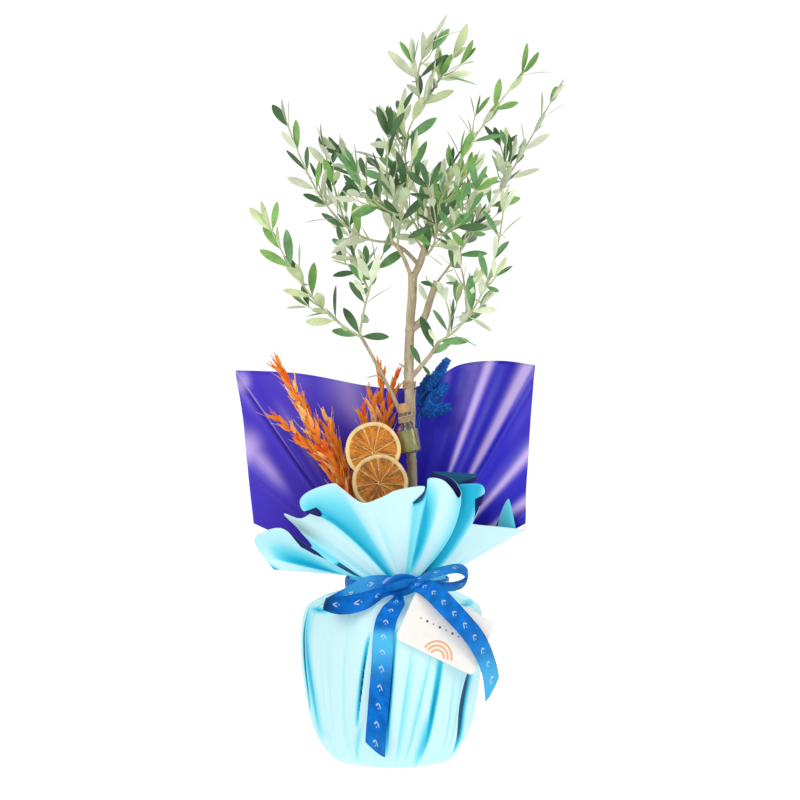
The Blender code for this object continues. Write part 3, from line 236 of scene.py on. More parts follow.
# The band's outline, as how far out it stands and its share of half the band's height.
BAND_PROFILE = (
    (0, -1), (1.4, -1), (1.9, -0.5), (2.1, 0), (1.9, 0.5), (1.4, 1), (0, 1), (0, -1),
)
# Ribbon stations: the place and the direction across the ribbon there.
UPRIGHT, LEVEL = (0.1, 0.35, 0.93), (0.1, 0.92, 0.36)
LEFT_LOOP = (
    ((2, -60, 181), UPRIGHT), ((-8, -62, 181), UPRIGHT), ((-26, -64, 177), UPRIGHT),
    ((-47, -70, 167), (0.1, 0.6, 0.75)), ((-62, -80, 162), (0.1, 0.82, 0.5)),
    ((-63, -89, 162), (0.1, 0.82, 0.5)), ((-46, -90, 161), (0.1, 0.55, 0.8)),
    ((-24, -82, 165), UPRIGHT), ((-9, -67, 171), UPRIGHT), ((3, -60, 173), UPRIGHT),
)
RIGHT_LOOP = [(place, LEVEL) for place in (
    (17, -61, 181), (26, -62, 183), (38, -62, 188), (52, -62, 192), (65, -62, 193),
    (72, -62, 187), (67, -64, 179), (52, -65, 176), (30, -63, 179), (17, -61, 179),
)]
FRONT_TAIL = (
    ((6, -66, 167), (1, 0, 0.06)), ((1, -80, 160), (1, 0, 0)), ((-6, -87, 147), (1, 0, -0.08)),
    ((-9, -90, 128), (1, 0, 0)), ((-10, -90, 108), (1, 0, 0.06)), ((-12, -90, 84), (1, 0, 0.05)),
    ((-14, -89, 60), (1, 0.05, 0.1)), ((-16, -88, 36), (1, 0.1, 0.16)),
    ((-17, -84, 14), (1, 0.1, 0.16)),
)
RIGHT_TAIL = (
    ((19, -62, 180), (0.8, 0.1, 0.4)), ((27, -80, 180), (0.8, 0.1, 0.45)),
    ((38, -90, 174), (0.8, 0.1, 0.5)), ((51, -90, 161), (0.8, 0.25, 0.55)),
    ((65, -88, 146), (0.8, 0.3, 0.52)), ((78, -80, 130), (0.8, 0.35, 0.5)),
    ((88, -72, 111), (0.75, 0.5, 0.3)), ((94, -64, 92), (0.75, 0.6, 0.16)),
    ((97, -60, 66), (0.75, 0.6, 0.02)),
)

# ---- trimmings

SLICE_TILT = 7
SLICE_RIND = 3.2
# The share of the way from a slice's hub to the middle of its edge where the rind starts.
SLICE_FACE = 0.84
# Each slice's middle, radius, number of segments, seed, the place of its hub on it, and
# how much of the full colour it keeps.
SLICES = {
    "orange_slice_upper": ((-19.5, -31.7, 307), 27.5, 9, 4, (0.5, -3.5, 0), 1),
    "orange_slice_lower": ((-12.5, -41, 275.5), 27.5, 12, 8, (-0.5, -1, 0), 0.84),
}
BOTTLE_FOOT = Vector((18.3, -18.6, 303.5))
BOTTLE_TILT = 10
BOTTLE_BODY = 27
BOTTLE_NECK_RADIUS = 5.6
BOTTLE_HEIGHT = 40
LATHE_STEPS = 72
# Radius and height of the glass, up its outside and down its inside, and of the oil in it;
# and of the cork, from the height of the bottle's mouth.
GLASS_OUTLINE = (
    (0, 0.9), (7, 0.6), (8.8, 0), (10, 0.15), (10.8, 0.8), (11, 1.8), (11, 23.6), (10.7, 25.1),
    (9.8, 26.4), (8.4, 27.5), (6.7, 29.4), (5.9, 30.6), (5.6, 32), (5.6, 36.8), (6, 37.2),
    (6.7, 37.6), (6.9, 38.8), (6.6, 39.8), (6, 40), (4.4, 39.9), (4.4, 30.5), (7.3, 25.5),
    (9.6, 24), (9.8, 22.5), (9.8, 2.6), (9.3, 1.7), (8.2, 1.3), (0, 1.7),
)
OIL_OUTLINE = (
    (0, 2.1), (7.9, 1.7), (9.1, 2.2), (9.5, 3), (9.5, 23), (9.2, 22.4), (8.3, 22.1), (0, 22),
)
CORK_OUTLINE = (
    (0, -7), (3.5, -7), (4.1, 0.3), (5.6, 0.3), (6, 0.9), (6.1, 5), (6, 9.2), (5.3, 10), (0, 10),
)
COIL_TURNS = 4
# A loose strand of the twine between its two ends: each place is measured from the middle
# of the coil at the bottle's neck (0) or round the trunk (1).
STRAND_BENDS = (
    ((0, (8.5, -2, 5)), (1, (4, -5.2, -6))),
    ((0, (7.6, -6, -3)), (0, (9, -7.6, -9)), (0, (11, -7, -19)), (0, (12, -6, -26))),
    ((0, (-5, -5, 0.5)), (0, (-1, -8.6, 2.4)), (0, (4, -7.4, 4)), (0, (7.4, -4, 7)),
     (1, (6.2, -1, -5))),
)

# Dried oats: where the stems stand, the rest of each stem, and the spikelets on one.
Spray = namedtuple("Spray", "root stems spikelets length")
OATS = {
    "dried_oats_left": Spray((-14, -12, SOIL_TOP), (
        ((-20, -14, 180), (-47, -19, 272), (-72, -20, 316), (-92, -22, 356), (-120, -24, 400)),
        ((-22, -12, 180), (-60, -13, 279), (-92, -12, 317), (-122, -14, 345)),
        ((-18, -10, 180), (-44, -8, 272), (-57, -6, 306), (-68, -6, 346)),
        ((-20, -13, 180), (-50, -16, 274), (-78, -17, 318), (-100, -18, 368)),
        ((-19, -11, 180), (-40, -12, 262), (-52, -12, 296), (-66, -13, 330)),
    ), 25, 27),
    "dried_oats_right": Spray((-6, 8, SOIL_TOP), (
        ((-9, 8, 200), (-14, 8, 300), (-18, 8, 335), (-24, 8, 372)),
        ((-7, 9, 200), (-11, 10, 300), (-12, 10, 345), (-12, 10, 394)),
        ((-4, 10, 200), (-5, 12, 300), (-4, 14, 345), (4, 16, 388)),
        ((-8, 8, 200), (-18, 8, 292), (-26, 7, 322), (-32, 6, 350)),
    ), 22, 25),
}
SeedHead = namedtuple("SeedHead", "stem root tip radius")
BLUE_HEADS = [SeedHead(*row) for row in (
    (((15, 12, 136), (16, 11, 250), (20, 13, 340)), (35, 16, 366), (56, 18, 398), 6),
    (((18, 16, 136), (18, 18, 250), (21, 24, 330)), (27, 28, 350), (38, 33, 381), 9),
    (((21, 11, 136), (20, 10, 250), (23, 10, 330)), (33, 11, 350), (56, 13, 373), 6.5),
    (((24, 13, 136), (23, 12, 240), (23, 12, 305)), (28, 12, 343), (58, 9, 349), 7.5),
)]

# ---- limbs and shoots

Limb = namedtuple("Limb", "points radii")
LIMBS = {name: Limb(*rows) for name, rows in {
    "trunk": (
        ((19, 0, SOIL_TOP), (19, 0, 155), (19, 0, 276), (16, 0, 384), (17, 0, 429),
         (19, 0, 456), (20, 0, 482)),
        (9, 6.2, 5.4, 4.6, 5, 4.3, 4.6),
    ),
    "bough_leader": (
        ((20, 0, 478), (27, 2, 493), (32, 4, 510), (37, 6, 525), (34, 8, 550)),
        (3.4, 3.6, 2.8, 2.9, 1.8),
    ),
    "bough_left_upper": (
        ((26, 3, 491), (14, 5, 504), (4, 4, 511), (-9, -2, 514)), (2.2, 1.9, 1.7, 1.5),
    ),
    "bough_left_lower": (((19, -1, 478), (9, -6, 501), (-1, -8, 514)), (2.2, 1.9, 1.6)),
    "bough_stump": (
        ((18, 1, 426), (31, 4, 438), (37, 5, 456), (44, 5, 475)), (3.8, 3.7, 3.4, 3.5),
    ),
    "bough_lower_right": (((17, -1, 377), (35, -12, 398), (46, -20, 414)), (2.5, 2.2, 1.8)),
    "bough_lower_left": (
        ((18, 0, 312), (4, 1, 351), (-15, -5, 389), (-27, -10, 411), (-33, -12, 421)),
        (2.2, 2, 1.9, 1.7, 1.6),
    ),
}.items()}
# Short bare stubs and thin leafless twigs near the fork: their points and root radius.
STUBS = (
    (((31, 3, 506), (25, 0, 514), (17, -2, 524)), 1.5),
    (((33, 4, 522), (29, 2, 528), (25, 2, 533)), 1.4),
    (((37, 6, 524), (42, 8, 532), (40, 10, 546)), 1.1),
    (((44, 5, 473), (50, 2, 482), (60, -2, 486)), 0.8),
    (((41, 5, 466), (35, 3, 474), (33, 0, 480)), 0.9),
    (((17, -3, 384), (10, -8, 390), (6, -10, 392)), 1.2),
    (((18, 3, 330), (22, 8, 342), (22, 11, 350)), 1),
    (((-8, -3, 374), (-16, -8, 380), (-26, -10, 378)), 0.8),
)

# Limbs thicker than this have rings at the old buds, at these heights above their foot.
THICK_LIMB = 3.9
BUD_RINGS = (248, 291, 160)

# A mass grows from a limb by a seed.  Its first shoot leaves the limb, and the others leave
# that one, each at a share of its length, through a place to a tip, with leaves of one
# length that start at a turn about the shoot.
Shoot = namedtuple("Shoot", "parent at via tip leaf roll")
Mass = namedtuple("Mass", "limb seed shoots")
MASSES = {
    name: Mass(limb, seed, [Shoot(*row) for row in rows])
    for seed, (name, limb, *rows) in enumerate((
        ("foliage_top", "bough_leader",
         (-1, 1, (12, 2, 602), (31, -5, 652), 34, 45),
         (0, 0.97, (25, -12, 680), (37, -15, 711), 36, 30),
         (0, 0.97, (44, 4, 674), (60, 12, 700), 36, 50),
         (0, 0.58, (5, 14, 621), (7, 24, 644), 34, 40),
         (0, 0.3, (6, 24, 582), (-12, 48, 604), 32, 10)),
        ("foliage_right_plume", "bough_leader",
         (-1, 0.72, (68, -28, 594), (127, -66, 672), 29, 45),
         (0, 0.22, (60, -36, 560), (66, -52, 592), 30, 20)),
        ("foliage_far_right", "bough_stump",
         (-1, 0.94, (101, 35, 557), (165, 70, 668), 33, 45),
         (0, 0.2, (74, 10, 525), (77, -4, 548), 30, 60),
         (0, 0.55, (116, 60, 590), (112, 82, 622), 30, 0)),
        ("foliage_lower_right", "bough_lower_right",
         (-1, 1, (86, -44, 458), (107, -60, 540), 31, 45),
         (0, 0.3, (72, -16, 462), (68, -4, 488), 30, 30),
         (0, 0.08, (56, -30, 436), (52, -42, 452), 30, 0)),
        ("foliage_upper_left", "bough_left_upper",
         (-1, 1, (-60, -30, 541), (-103, -45, 626), 30, 45),
         (0, 0.36, (-58, 4, 566), (-70, 24, 611), 30, 30)),
        ("foliage_center_left", "bough_left_lower",
         (-1, 1, (-6, -12, 560), (-4, -26, 616), 33, 45),
         (0, 0.38, (-34, 8, 577), (-54, 28, 605), 31, 20)),
        ("foliage_left_middle", "bough_lower_left",
         (-1, 1, (-24, 6, 466), (-10, 22, 504), 33, 40),
         (0, 0.5, (-36, 26, 494), (-44, 44, 524), 30, 60)),
        ("foliage_lower_left", "bough_lower_left",
         (-1, 0.9, (-80, -36, 458), (-118, -58, 522), 34, 45)),
        ("foliage_center", "bough_left_lower",
         (-1, 0.72, (10, -34, 545), (18, -52, 588), 34, 45),
         (0, 0.4, (-16, -52, 548), (-34, -74, 574), 32, 10)),
        ("foliage_right_middle", "bough_leader",
         (-1, 0.76, (62, 24, 546), (80, 34, 584), 32, 45),
         (0, 0.45, (60, 52, 562), (66, 78, 590), 30, 0)),
        ("foliage_back", "bough_leader",
         (-1, 0.52, (18, 52, 545), (-6, 92, 588), 34, 45),
         (0, 0.45, (34, 76, 552), (50, 104, 582), 32, 20)),
        ("foliage_front", "bough_leader",
         (-1, 0.34, (42, -36, 518), (34, -84, 560), 32, 45),
         (0, 0.5, (64, -62, 526), (80, -90, 556), 30, 10)),
    ), 11)
}
INTERNODE = 16.5
TWIG_ROOT_RADIUS = 1.35
TWIG_TIP_RADIUS = 0.7
# The share of a leaf's length, and its half width there as a share of its width.
LEAF_OUTLINE = (
    (0, 0.055), (0.1, 0.075), (0.22, 0.27), (0.4, 0.44), (0.58, 0.5), (0.74, 0.46),
    (0.88, 0.31), (0.96, 0.16), (1, 0.03),
)
# How far a leaf may reach past the box of the solids, and where leaves look for light.
LEAF_REACH = 4
TO_LIGHT = Vector((0, -1, 0.1))
# Leaves that stand straight on the wood: the limb, the share of its length, the leaf's
# tip, its kind, and 1 where its green side or -1 where its silver side faces front.
WOOD_LEAVES = (
    ("bough_lower_right", 0.32, (18, -15, 411), 1, 1),
    ("bough_lower_right", 0.34, (37, -17, 381), 1, 1),
    ("bough_lower_right", 0.58, (57, -24, 413), 0, 1),
    ("bough_lower_right", 0.72, (28, -26, 439), 1, 1),
    ("bough_lower_right", 0.92, (34, -26, 426), 0, -1),
    ("bough_lower_right", 0.98, (75, -30, 415), 0, 1),
    ("bough_lower_left", 0.96, (-60, -26, 425), 0, 1),
    ("bough_lower_left", 0.93, (-4, -24, 419), 1, 1),
    ("bough_lower_left", 0.99, (-49, -10, 449), 1, 1),
    ("bough_stump", 0.62, (24, -8, 472), 0, -1),
    ("bough_stump", 0.9, (28, -6, 474), 1, 1),
)

LAMP_AIM = Vector((0, 0, 0.36))

# ---- settings


def tone(red, green, blue):
    """A colour given as 0 to 255 a channel, in the linear values that a shader takes."""

    def linear(value):
        value /= 255
        return value / 12.92 if value <= 0.04045 else ((value + 0.055) / 1.055) ** 2.4

    return (linear(red), linear(green), linear(blue), 1)


def colour(name, description, *channels):
    """A colour that a user may change, given as 0 to 255 a channel."""
    return FloatVectorProperty(
        name=name, description=description, default=tone(*channels), size=4, min=0, max=1,
        subtype="COLOR",
    )


def size(name, description, default):
    """A length that a user may change, given in millimetres."""
    return FloatProperty(name=name, description=description, default=default * MM, unit="LENGTH")


def part(name, description, default, low=0, high=1):
    """A share that a user may change."""
    return FloatProperty(
        name=name, description=description, default=default, min=low, max=high, subtype="FACTOR"
    )


def power(name, description, default):
    """A lamp's power that a user may change."""
    return FloatProperty(name=name, description=description, default=default, min=0, unit="POWER")


class OLIVE_PG_wrapping(bpy.types.PropertyGroup):
    """The film round the pot and the purple sheet behind the stem."""

    film_thickness: size("Film thickness", "Thickness of both sheets", 0.5)
    pale: colour("Film", "The film where it lies flat", 210, 250, 254)
    # Painted shade: the film's colours in the hollow of a wave, in a fold and deep in a crease.
    shallow: colour("Film waves", "The film in the hollow of a wave", 118, 230, 248)
    fold: colour("Film folds", "The film in the shade of a fold", 0, 184, 220)
    deep: colour("Deep folds", "The film deep in a crease", 0, 82, 116)
    inside: colour("Film inside", "The navy inner side of the film", 30, 34, 104)
    purple: colour("Sheet", "The upright sheet behind the stem", 50, 42, 210)
    violet: colour("Sheet's left", "The upright sheet's warmer left half", 74, 54, 204)
    lilac: colour("Sheet gloss", "The sheet where it catches the light", 214, 190, 252)
    soil: colour("Soil", "The potting soil", 84, 62, 44)


class OLIVE_PG_ribbon(bpy.types.PropertyGroup):
    """The satin ribbon and the card tag."""

    thickness: size("Ribbon thickness", "Thickness of the satin", 0.5)
    width: size("Ribbon width", "Width of the satin", RIBBON_WIDTH)
    satin: colour("Satin", "The ribbon's own blue", 0, 120, 222)
    gloss: colour("Satin gloss", "The ribbon where it catches the light", 84, 196, 244)
    sprig: colour("Sprig", "The small sprigs woven into the ribbon", 226, 240, 252)
    card: colour("Card", "The tag's card", 250, 246, 240)
    print_colour: colour("Print", "The rings on the tag", 247, 178, 128)


class OLIVE_PG_trimmings(bpy.types.PropertyGroup):
    """The slices, dried oats, seed heads, bottle and twine."""

    twine_radius: size("Twine radius", "Half the twine's diameter", 0.8)
    rind: colour("Rind", "The slices' dried rind and pith", 255, 226, 160)
    flesh: colour("Flesh", "The slices' dried flesh", 236, 146, 40)
    oats: colour("Oats", "The dyed oats", 255, 154, 54)
    heads: colour("Seed heads", "The dyed seed heads", 0, 104, 204)
    oil: colour("Oil", "The oil in the bottle", 246, 238, 140)
    cork: colour("Cork", "The bottle's stopper", 214, 170, 118)
    jute: colour("Jute", "The twine", 206, 180, 138)


class OLIVE_PG_tree(bpy.types.PropertyGroup):
    """The bark, the twigs and the leaves."""

    slenderness: part("Leaf width", "A leaf's width as a share of its length", 0.25, 0.1, 0.5)
    twist: FloatProperty(
        name="Leaf twist", description="How far a leaf may turn about its own length",
        default=radians(56), subtype="ANGLE",
    )
    sunward: part("Leaves to the light", "The share of leaves whose upper side faces front", 0.52)
    bare: part("Bare places", "The share of leaf places that stay empty", 0.03, 0, 0.9)
    side_twigs: IntProperty(
        name="Side twigs", description="Finer twigs that leave each shoot", default=2, min=0, max=8
    )
    bark: colour("Bark", "The bark of the trunk and the boughs", 206, 190, 158)
    twig: colour("Twigs", "The green bark of young twigs", 200, 202, 156)
    leaf_dark: colour("Leaf", "The upper side of a grown leaf", 116, 168, 106)
    leaf_fresh: colour("Young leaf", "The upper side of a young leaf", 134, 182, 96)
    leaf_silver: colour("Leaf underside", "The silvery side of a leaf", 237, 247, 212)


class OLIVE_PG_stage(bpy.types.PropertyGroup):
    """The floor, the lights and the camera."""

    distance: size("Camera distance", "From the camera to the pot's middle", 1800)
    key_power: power("Key light", "Power of the large front light", 22)
    fill_power: power("Fill light", "Power of the light on the right", 11)
    floor: FloatVectorProperty(
        name="Floor", description="The studio floor", default=(0.94, 0.94, 0.94, 1), size=4,
        subtype="COLOR",
    )


# ---- curves and meshes


def ease(low, high, value):
    """0 below low, 1 above high, with a soft change between them."""
    share = min(max((value - low) / (high - low), 0), 1)
    return share * share * (3 - 2 * share)


def bell(value, middle, half_width):
    """1 at the middle, falling softly to 0 at twice the half width."""
    return exp(-(((value - middle) / half_width) ** 2))


def bell_round(azimuth, middle, half_width):
    """The same round a circle, in degrees."""
    return bell((azimuth - middle + 180) % 360, 180, half_width)


def round_z(radius, angle, height=0, shift=0):
    """A place on a circle about an upright axis, which may be shifted along X."""
    return Vector((shift + radius * cos(angle), radius * sin(angle), height))


def grain_at(x, y=0, z=0):
    """Smooth noise at a place."""
    return noise(Vector((x, y, z)))


def leaning(along, out, lean):
    """A direction that leans by an angle from one way towards another."""
    return along * cos(lean) + out * sin(lean)


def swung(direction, angle, axis):
    """A direction turned about an axis."""
    return Matrix.Rotation(angle, 3, axis) @ direction


def through(points, share, closed=False):
    """The point at a share of the way along a smooth curve through some points."""
    count = len(points)
    spans = count if closed else count - 1
    place = min(max(share, 0), 1) * spans
    span = min(int(place), spans - 1)
    t = place - span

    def pick(index):
        return Vector(points[index % count if closed else min(max(index, 0), count - 1)])

    before, start, end, after = (pick(span + offset) for offset in (-1, 0, 1, 2))
    return 0.5 * (
        2 * start
        + (end - before) * t
        + (2 * before - 5 * start + 4 * end - after) * t * t
        + (3 * start - before - 3 * end + after) * t * t * t
    )


def between(values, share):
    """A number or a vector read part of the way along a list of them."""
    place = min(max(share, 0), 1) * (len(values) - 1)
    index = min(int(place), len(values) - 2)
    return values[index] + (values[index + 1] - values[index]) * (place - index)


def travelled(points):
    """The distance along a path at each of its points."""
    found = [0]
    for first, second in zip(points, points[1:]):
        found.append(found[-1] + (second - first).length)
    return found


def evened(points, count):
    """A number of points an even distance apart along the smooth curve through some."""
    steps = 12 * len(points)
    dense = [through(points, index / steps) for index in range(steps + 1)]
    lengths = travelled(dense)
    placed = []
    index = 0
    for step in range(count):
        wanted = lengths[-1] * step / (count - 1)
        while index < steps - 1 and lengths[index + 1] < wanted:
            index += 1
        span = max(lengths[index + 1] - lengths[index], 1e-9)
        share = min((wanted - lengths[index]) / span, 1)
        placed.append(dense[index].lerp(dense[index + 1], share))
    return placed


def tapered(first, last, count):
    """A number of values, an even step apart."""
    return [first + (last - first) * index / (count - 1) for index in range(count)]


def bow(root, via, tip, share):
    """A point on the arc from root to tip that passes through via half way."""
    root, via, tip = Vector(root), Vector(via), Vector(tip)
    control = 2 * via - (root + tip) / 2
    rest = 1 - share
    return rest * rest * root + 2 * rest * share * control + share * share * tip


def heading(curve, share, step=0.02):
    """The direction of a curve, a function of the share of its length, at a share."""
    return (curve(min(share + step, 1)) - curve(max(share - step, 0))).normalized()


def surface(columns, rows, place_at, marks=()):
    """A grid laid over a surface.

    place_at(u, v) gives the place, u and v 0 to 1, and with marks also one number for
    each: they become attributes of the same names.  The UV map holds u and v.
    """
    shape = bmesh.new()
    bmesh.ops.create_grid(shape, x_segments=columns, y_segments=rows, size=0.5)
    layers = [shape.verts.layers.float.new(mark) for mark in marks]
    chart = shape.loops.layers.uv.new("UVMap")
    for face in shape.faces:
        for corner in face.loops:
            corner[chart].uv = (corner.vert.co.x + 0.5, corner.vert.co.y + 0.5)
    for vert in shape.verts:
        found = place_at(vert.co.x + 0.5, vert.co.y + 0.5)
        vert.co, *values = found if marks else (found,)
        for layer, value in zip(layers, values):
            vert[layer] = value
    return shape


def recharted(shape, chart_at):
    """Give a shape's UV map other values, as a function of those that it has."""
    chart = shape.loops.layers.uv["UVMap"]
    for face in shape.faces:
        for corner in face.loops:
            corner[chart].uv = chart_at(*corner[chart].uv)
    return shape


def joined(shape, gap=0.002):
    """Merge the places where a shape meets itself."""
    bmesh.ops.remove_doubles(shape, verts=shape.verts, dist=gap)
    return shape


def closed_up(shape):
    """Join a shape's seams and turn its faces outwards."""
    bmesh.ops.recalc_face_normals(joined(shape), faces=shape.faces)
    return shape


def turned(profile):
    """A closed solid of revolution about Z, from its outline as radius and height."""
    shape = bmesh.new()
    verts = [shape.verts.new((radius, 0, height)) for radius, height in profile]
    edges = [shape.edges.new(pair) for pair in zip(verts, verts[1:])]
    bmesh.ops.spin(
        shape, geom=verts + edges, axis=Z, cent=(0, 0, 0), angle=FULL_TURN,
        steps=LATHE_STEPS, use_merge=True,
    )
    return closed_up(shape)


def tube(points, radii, sides, relief=None):
    """A closed tube along a path: rings of points round it, and a middle at either end.

    relief(distance, angle) is a height in millimetres that is added to its radius.  The
    UV map holds the turn round it and the distance along it, in millimetres.
    """
    last = len(points) - 1
    rows = last + 2
    distances = travelled(points)
    frames = []
    side = None
    for index in range(last + 1):
        along = (points[min(index + 1, last)] - points[max(index - 1, 0)]).normalized()
        side = along.orthogonal() if side is None else side
        side = (side - along * side.dot(along)).normalized()
        frames.append((side, along.cross(side)))

    def index_at(row):
        return min(max(row - 1, 0), last)

    def tube_at(u, v):
        row = round(v * rows)
        index = index_at(row)
        if row in (0, rows):
            return points[index]
        angle = FULL_TURN * u
        radius = radii[index] + (relief(distances[index], angle) if relief else 0)
        return points[index] + leaning(*frames[index], angle) * radius

    shape = surface(sides, rows, tube_at)
    return closed_up(recharted(shape, lambda u, v: (u, distances[index_at(round(v * rows))])))


def added(whole, shape, slot=0):
    """Add a shape to a whole, with its faces in a material slot, and drop it."""
    for face in shape.faces:
        face.material_index = slot
    mesh = meshed("passing", shape)
    whole.from_mesh(mesh)
    bpy.data.meshes.remove(mesh)


def meshed(name, shape):
    """A mesh from a bmesh, which is dropped."""
    mesh = bpy.data.meshes.new(name)
    shape.to_mesh(mesh)
    shape.free()
    return mesh


def in_scene(name, data):
    """A new object for some data, in the scene."""
    made = bpy.data.objects.new(name, data)
    bpy.context.scene.collection.objects.link(made)
    return made


def finished(name, shape, materials, replaced=(), sharp=40):
    """Turn a bmesh in millimetres into a piece in metres that rides with the pot."""
    bmesh.ops.scale(shape, vec=(MM, MM, MM), verts=shape.verts)
    return piece_of(meshed(name, shape), materials, replaced, sharp)


def piece_of(mesh, materials, replaced, sharp):
    """An object for a mesh in metres, with its materials and its place in the frame."""
    mesh.shade_smooth()
    mesh.set_sharp_from_angle(angle=radians(sharp))
    for material in materials:
        mesh.materials.append(material)
    piece = in_scene(mesh.name, mesh)
    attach(piece, "root")
    if replaced:
        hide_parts(*replaced)
    return piece


def thickened(piece, thickness, offset, inner_slot=0):
    """Give a sheet its thickness, with the inner side in another of its materials."""
    solidify = piece.modifiers.new("Thickness", "SOLIDIFY")
    solidify.thickness = thickness
    solidify.offset = offset
    solidify.use_quality_normals = True
    solidify.material_offset = inner_slot


def tree_of_node(name):
    """A search tree over a node of the frame, in millimetres."""
    shape = bmesh.new()
    shape.from_mesh(frame["nodes"][name].data)
    bmesh.ops.scale(shape, vec=(1 / MM, 1 / MM, 1 / MM), verts=shape.verts)
    tree = BVHTree.FromBMesh(shape)
    shape.free()
    return tree


# ---- materials


def add_node(tree, kind, inputs=(), **settings):
    """Add a node, with its settings, and join or set its inputs by name or number."""
    made = tree.nodes.new(kind)
    for setting, value in settings.items():
        setattr(made, setting, value)
    for key, value in dict(inputs).items():
        if isinstance(value, bpy.types.NodeSocket):
            tree.links.new(value, made.inputs[key])
        else:
            made.inputs[key].default_value = value
    return made


def sum_of(tree, operation, *values):
    """The output of a Math node on sockets or numbers."""
    return add_node(tree, "ShaderNodeMath", enumerate(values), operation=operation).outputs[0]


def blended(tree, share, first, second, blend="MIX"):
    """The output of a colour mix."""
    return add_node(
        tree, "ShaderNodeMix", {0: share, 6: first, 7: second}, data_type="RGBA", blend_type=blend
    ).outputs[2]


def spread(tree, value, low, high, start=0, end=1):
    """A value stretched from one range to another, and kept in it."""
    inputs = {"Value": value, "From Min": low, "From Max": high, "To Min": start, "To Max": end}
    return add_node(
        tree, "ShaderNodeMapRange", inputs, interpolation_type="SMOOTHSTEP"
    ).outputs["Result"]


def shared_group(name, inputs, outputs, fill):
    """A node group, made the first time that it is asked for.

    Its inputs are given with their kinds and defaults, and its outputs with their kinds.
    fill(group, sockets) adds its nodes and gives a socket for each output.
    """
    group = bpy.data.node_groups.get(name)
    if group:
        return group
    group = bpy.data.node_groups.new(name, "ShaderNodeTree")
    for label, (kind, default) in inputs.items():
        socket = group.interface.new_socket(
            label, in_out="INPUT", socket_type="NodeSocket" + kind
        )
        if default is not None:
            socket.default_value = default
    for label, kind in outputs.items():
        group.interface.new_socket(label, in_out="OUTPUT", socket_type="NodeSocket" + kind)
    entry, result = (group.nodes.new("NodeGroup" + end) for end in ("Input", "Output"))
    for socket, entered in zip(fill(group, entry.outputs), result.inputs):
        group.links.new(socket, entered)
    return group


def noise_node(tree, place, scale, **inputs):
    """The output of a noise texture."""
    inputs = {"Vector": place, "Scale": scale, **inputs}
    return add_node(tree, "ShaderNodeTexNoise", inputs).outputs[0]


def mottle_group():
    """Two colours mingled in soft patches, with a finer grain over them."""

    def fill(group, given):
        place, scale, low, high, grain = given[:5]
        wide = noise_node(group, place, scale, Detail=3)
        finer = noise_node(group, place, sum_of(group, "MULTIPLY", scale, 7.3), Detail=4)
        offset = sum_of(group, "MULTIPLY", sum_of(group, "SUBTRACT", finer, 0.5), grain)
        mask = spread(group, sum_of(group, "ADD", wide, offset), 0.3, 0.7)
        return blended(group, mask, low, high), mask

    return shared_group(
        "Surface Mottle",
        {
            "Vector": ("Vector", None), "Scale": ("Float", 60), "Low": ("Color", None),
            "High": ("Color", None), "Grain": ("Float", 0.3),
        },
        {"Color": "Color", "Mask": "Float"},
        fill,
    )


def relief_group():
    """Fine bumps of one size, with finer ones on them."""

    def fill(group, given):
        place, scale, strength, distance = given[:4]
        height = noise_node(group, place, scale, Detail=5, Roughness=0.6)
        inputs = {"Strength": strength, "Distance": distance, "Height": height}
        return height, add_node(group, "ShaderNodeBump", inputs).outputs[0]

    return shared_group(
        "Fine Relief",
        {
            "Vector": ("Vector", None), "Scale": ("Float", 300), "Strength": ("Float", 0.3),
            "Distance": ("Float", 0.0003),
        },
        {"Height": "Float", "Normal": "Vector"},
        fill,
    )


def sprig_group():
    """A woven sprig: two small leaves and a berry, repeated along a ribbon.

    Its Vector is the distance along the ribbon and across it, in millimetres.
    """

    def fill(group, given):
        along, across = add_node(group, "ShaderNodeSeparateXYZ", {0: given[0]}).outputs[:2]
        along = sum_of(group, "MODULO", sum_of(group, "ADD", along, 1300), given[1])
        mask = None
        for middle, height, slope, length, width in (
            (4.6, 1.3, 0.55, 2.1, 0.75), (4.6, -1.3, -0.55, 2.1, 0.75), (7.8, 0, 0, 0.6, 0.6),
        ):
            forward = sum_of(group, "SUBTRACT", along, middle)
            off_line = sum_of(group, "SUBTRACT", across, height)
            sloped = sum_of(group, "MULTIPLY", forward, slope)
            sideways = sum_of(group, "SUBTRACT", off_line, sloped)
            squares = []
            for value, reach in ((forward, length), (sideways, width)):
                share = sum_of(group, "ABSOLUTE", sum_of(group, "DIVIDE", value, reach))
                squares.append(sum_of(group, "POWER", share, 2))
            inside = spread(group, sum_of(group, "ADD", *squares), 1.25, 0.85)
            mask = inside if mask is None else sum_of(group, "MAXIMUM", mask, inside)
        return (mask,)

    inputs = {"Vector": ("Vector", None), "Pitch": ("Float", 17)}
    return shared_group("Woven Sprig", inputs, {"Mask": "Float"}, fill)


def grey(value):
    """A colour without hue."""
    return (value, value, value, 1)


def shade(values, share):
    """A colour made darker, or lighter above 1."""
    return (*[min(channel * share, 1) for channel in values[:3]], 1)


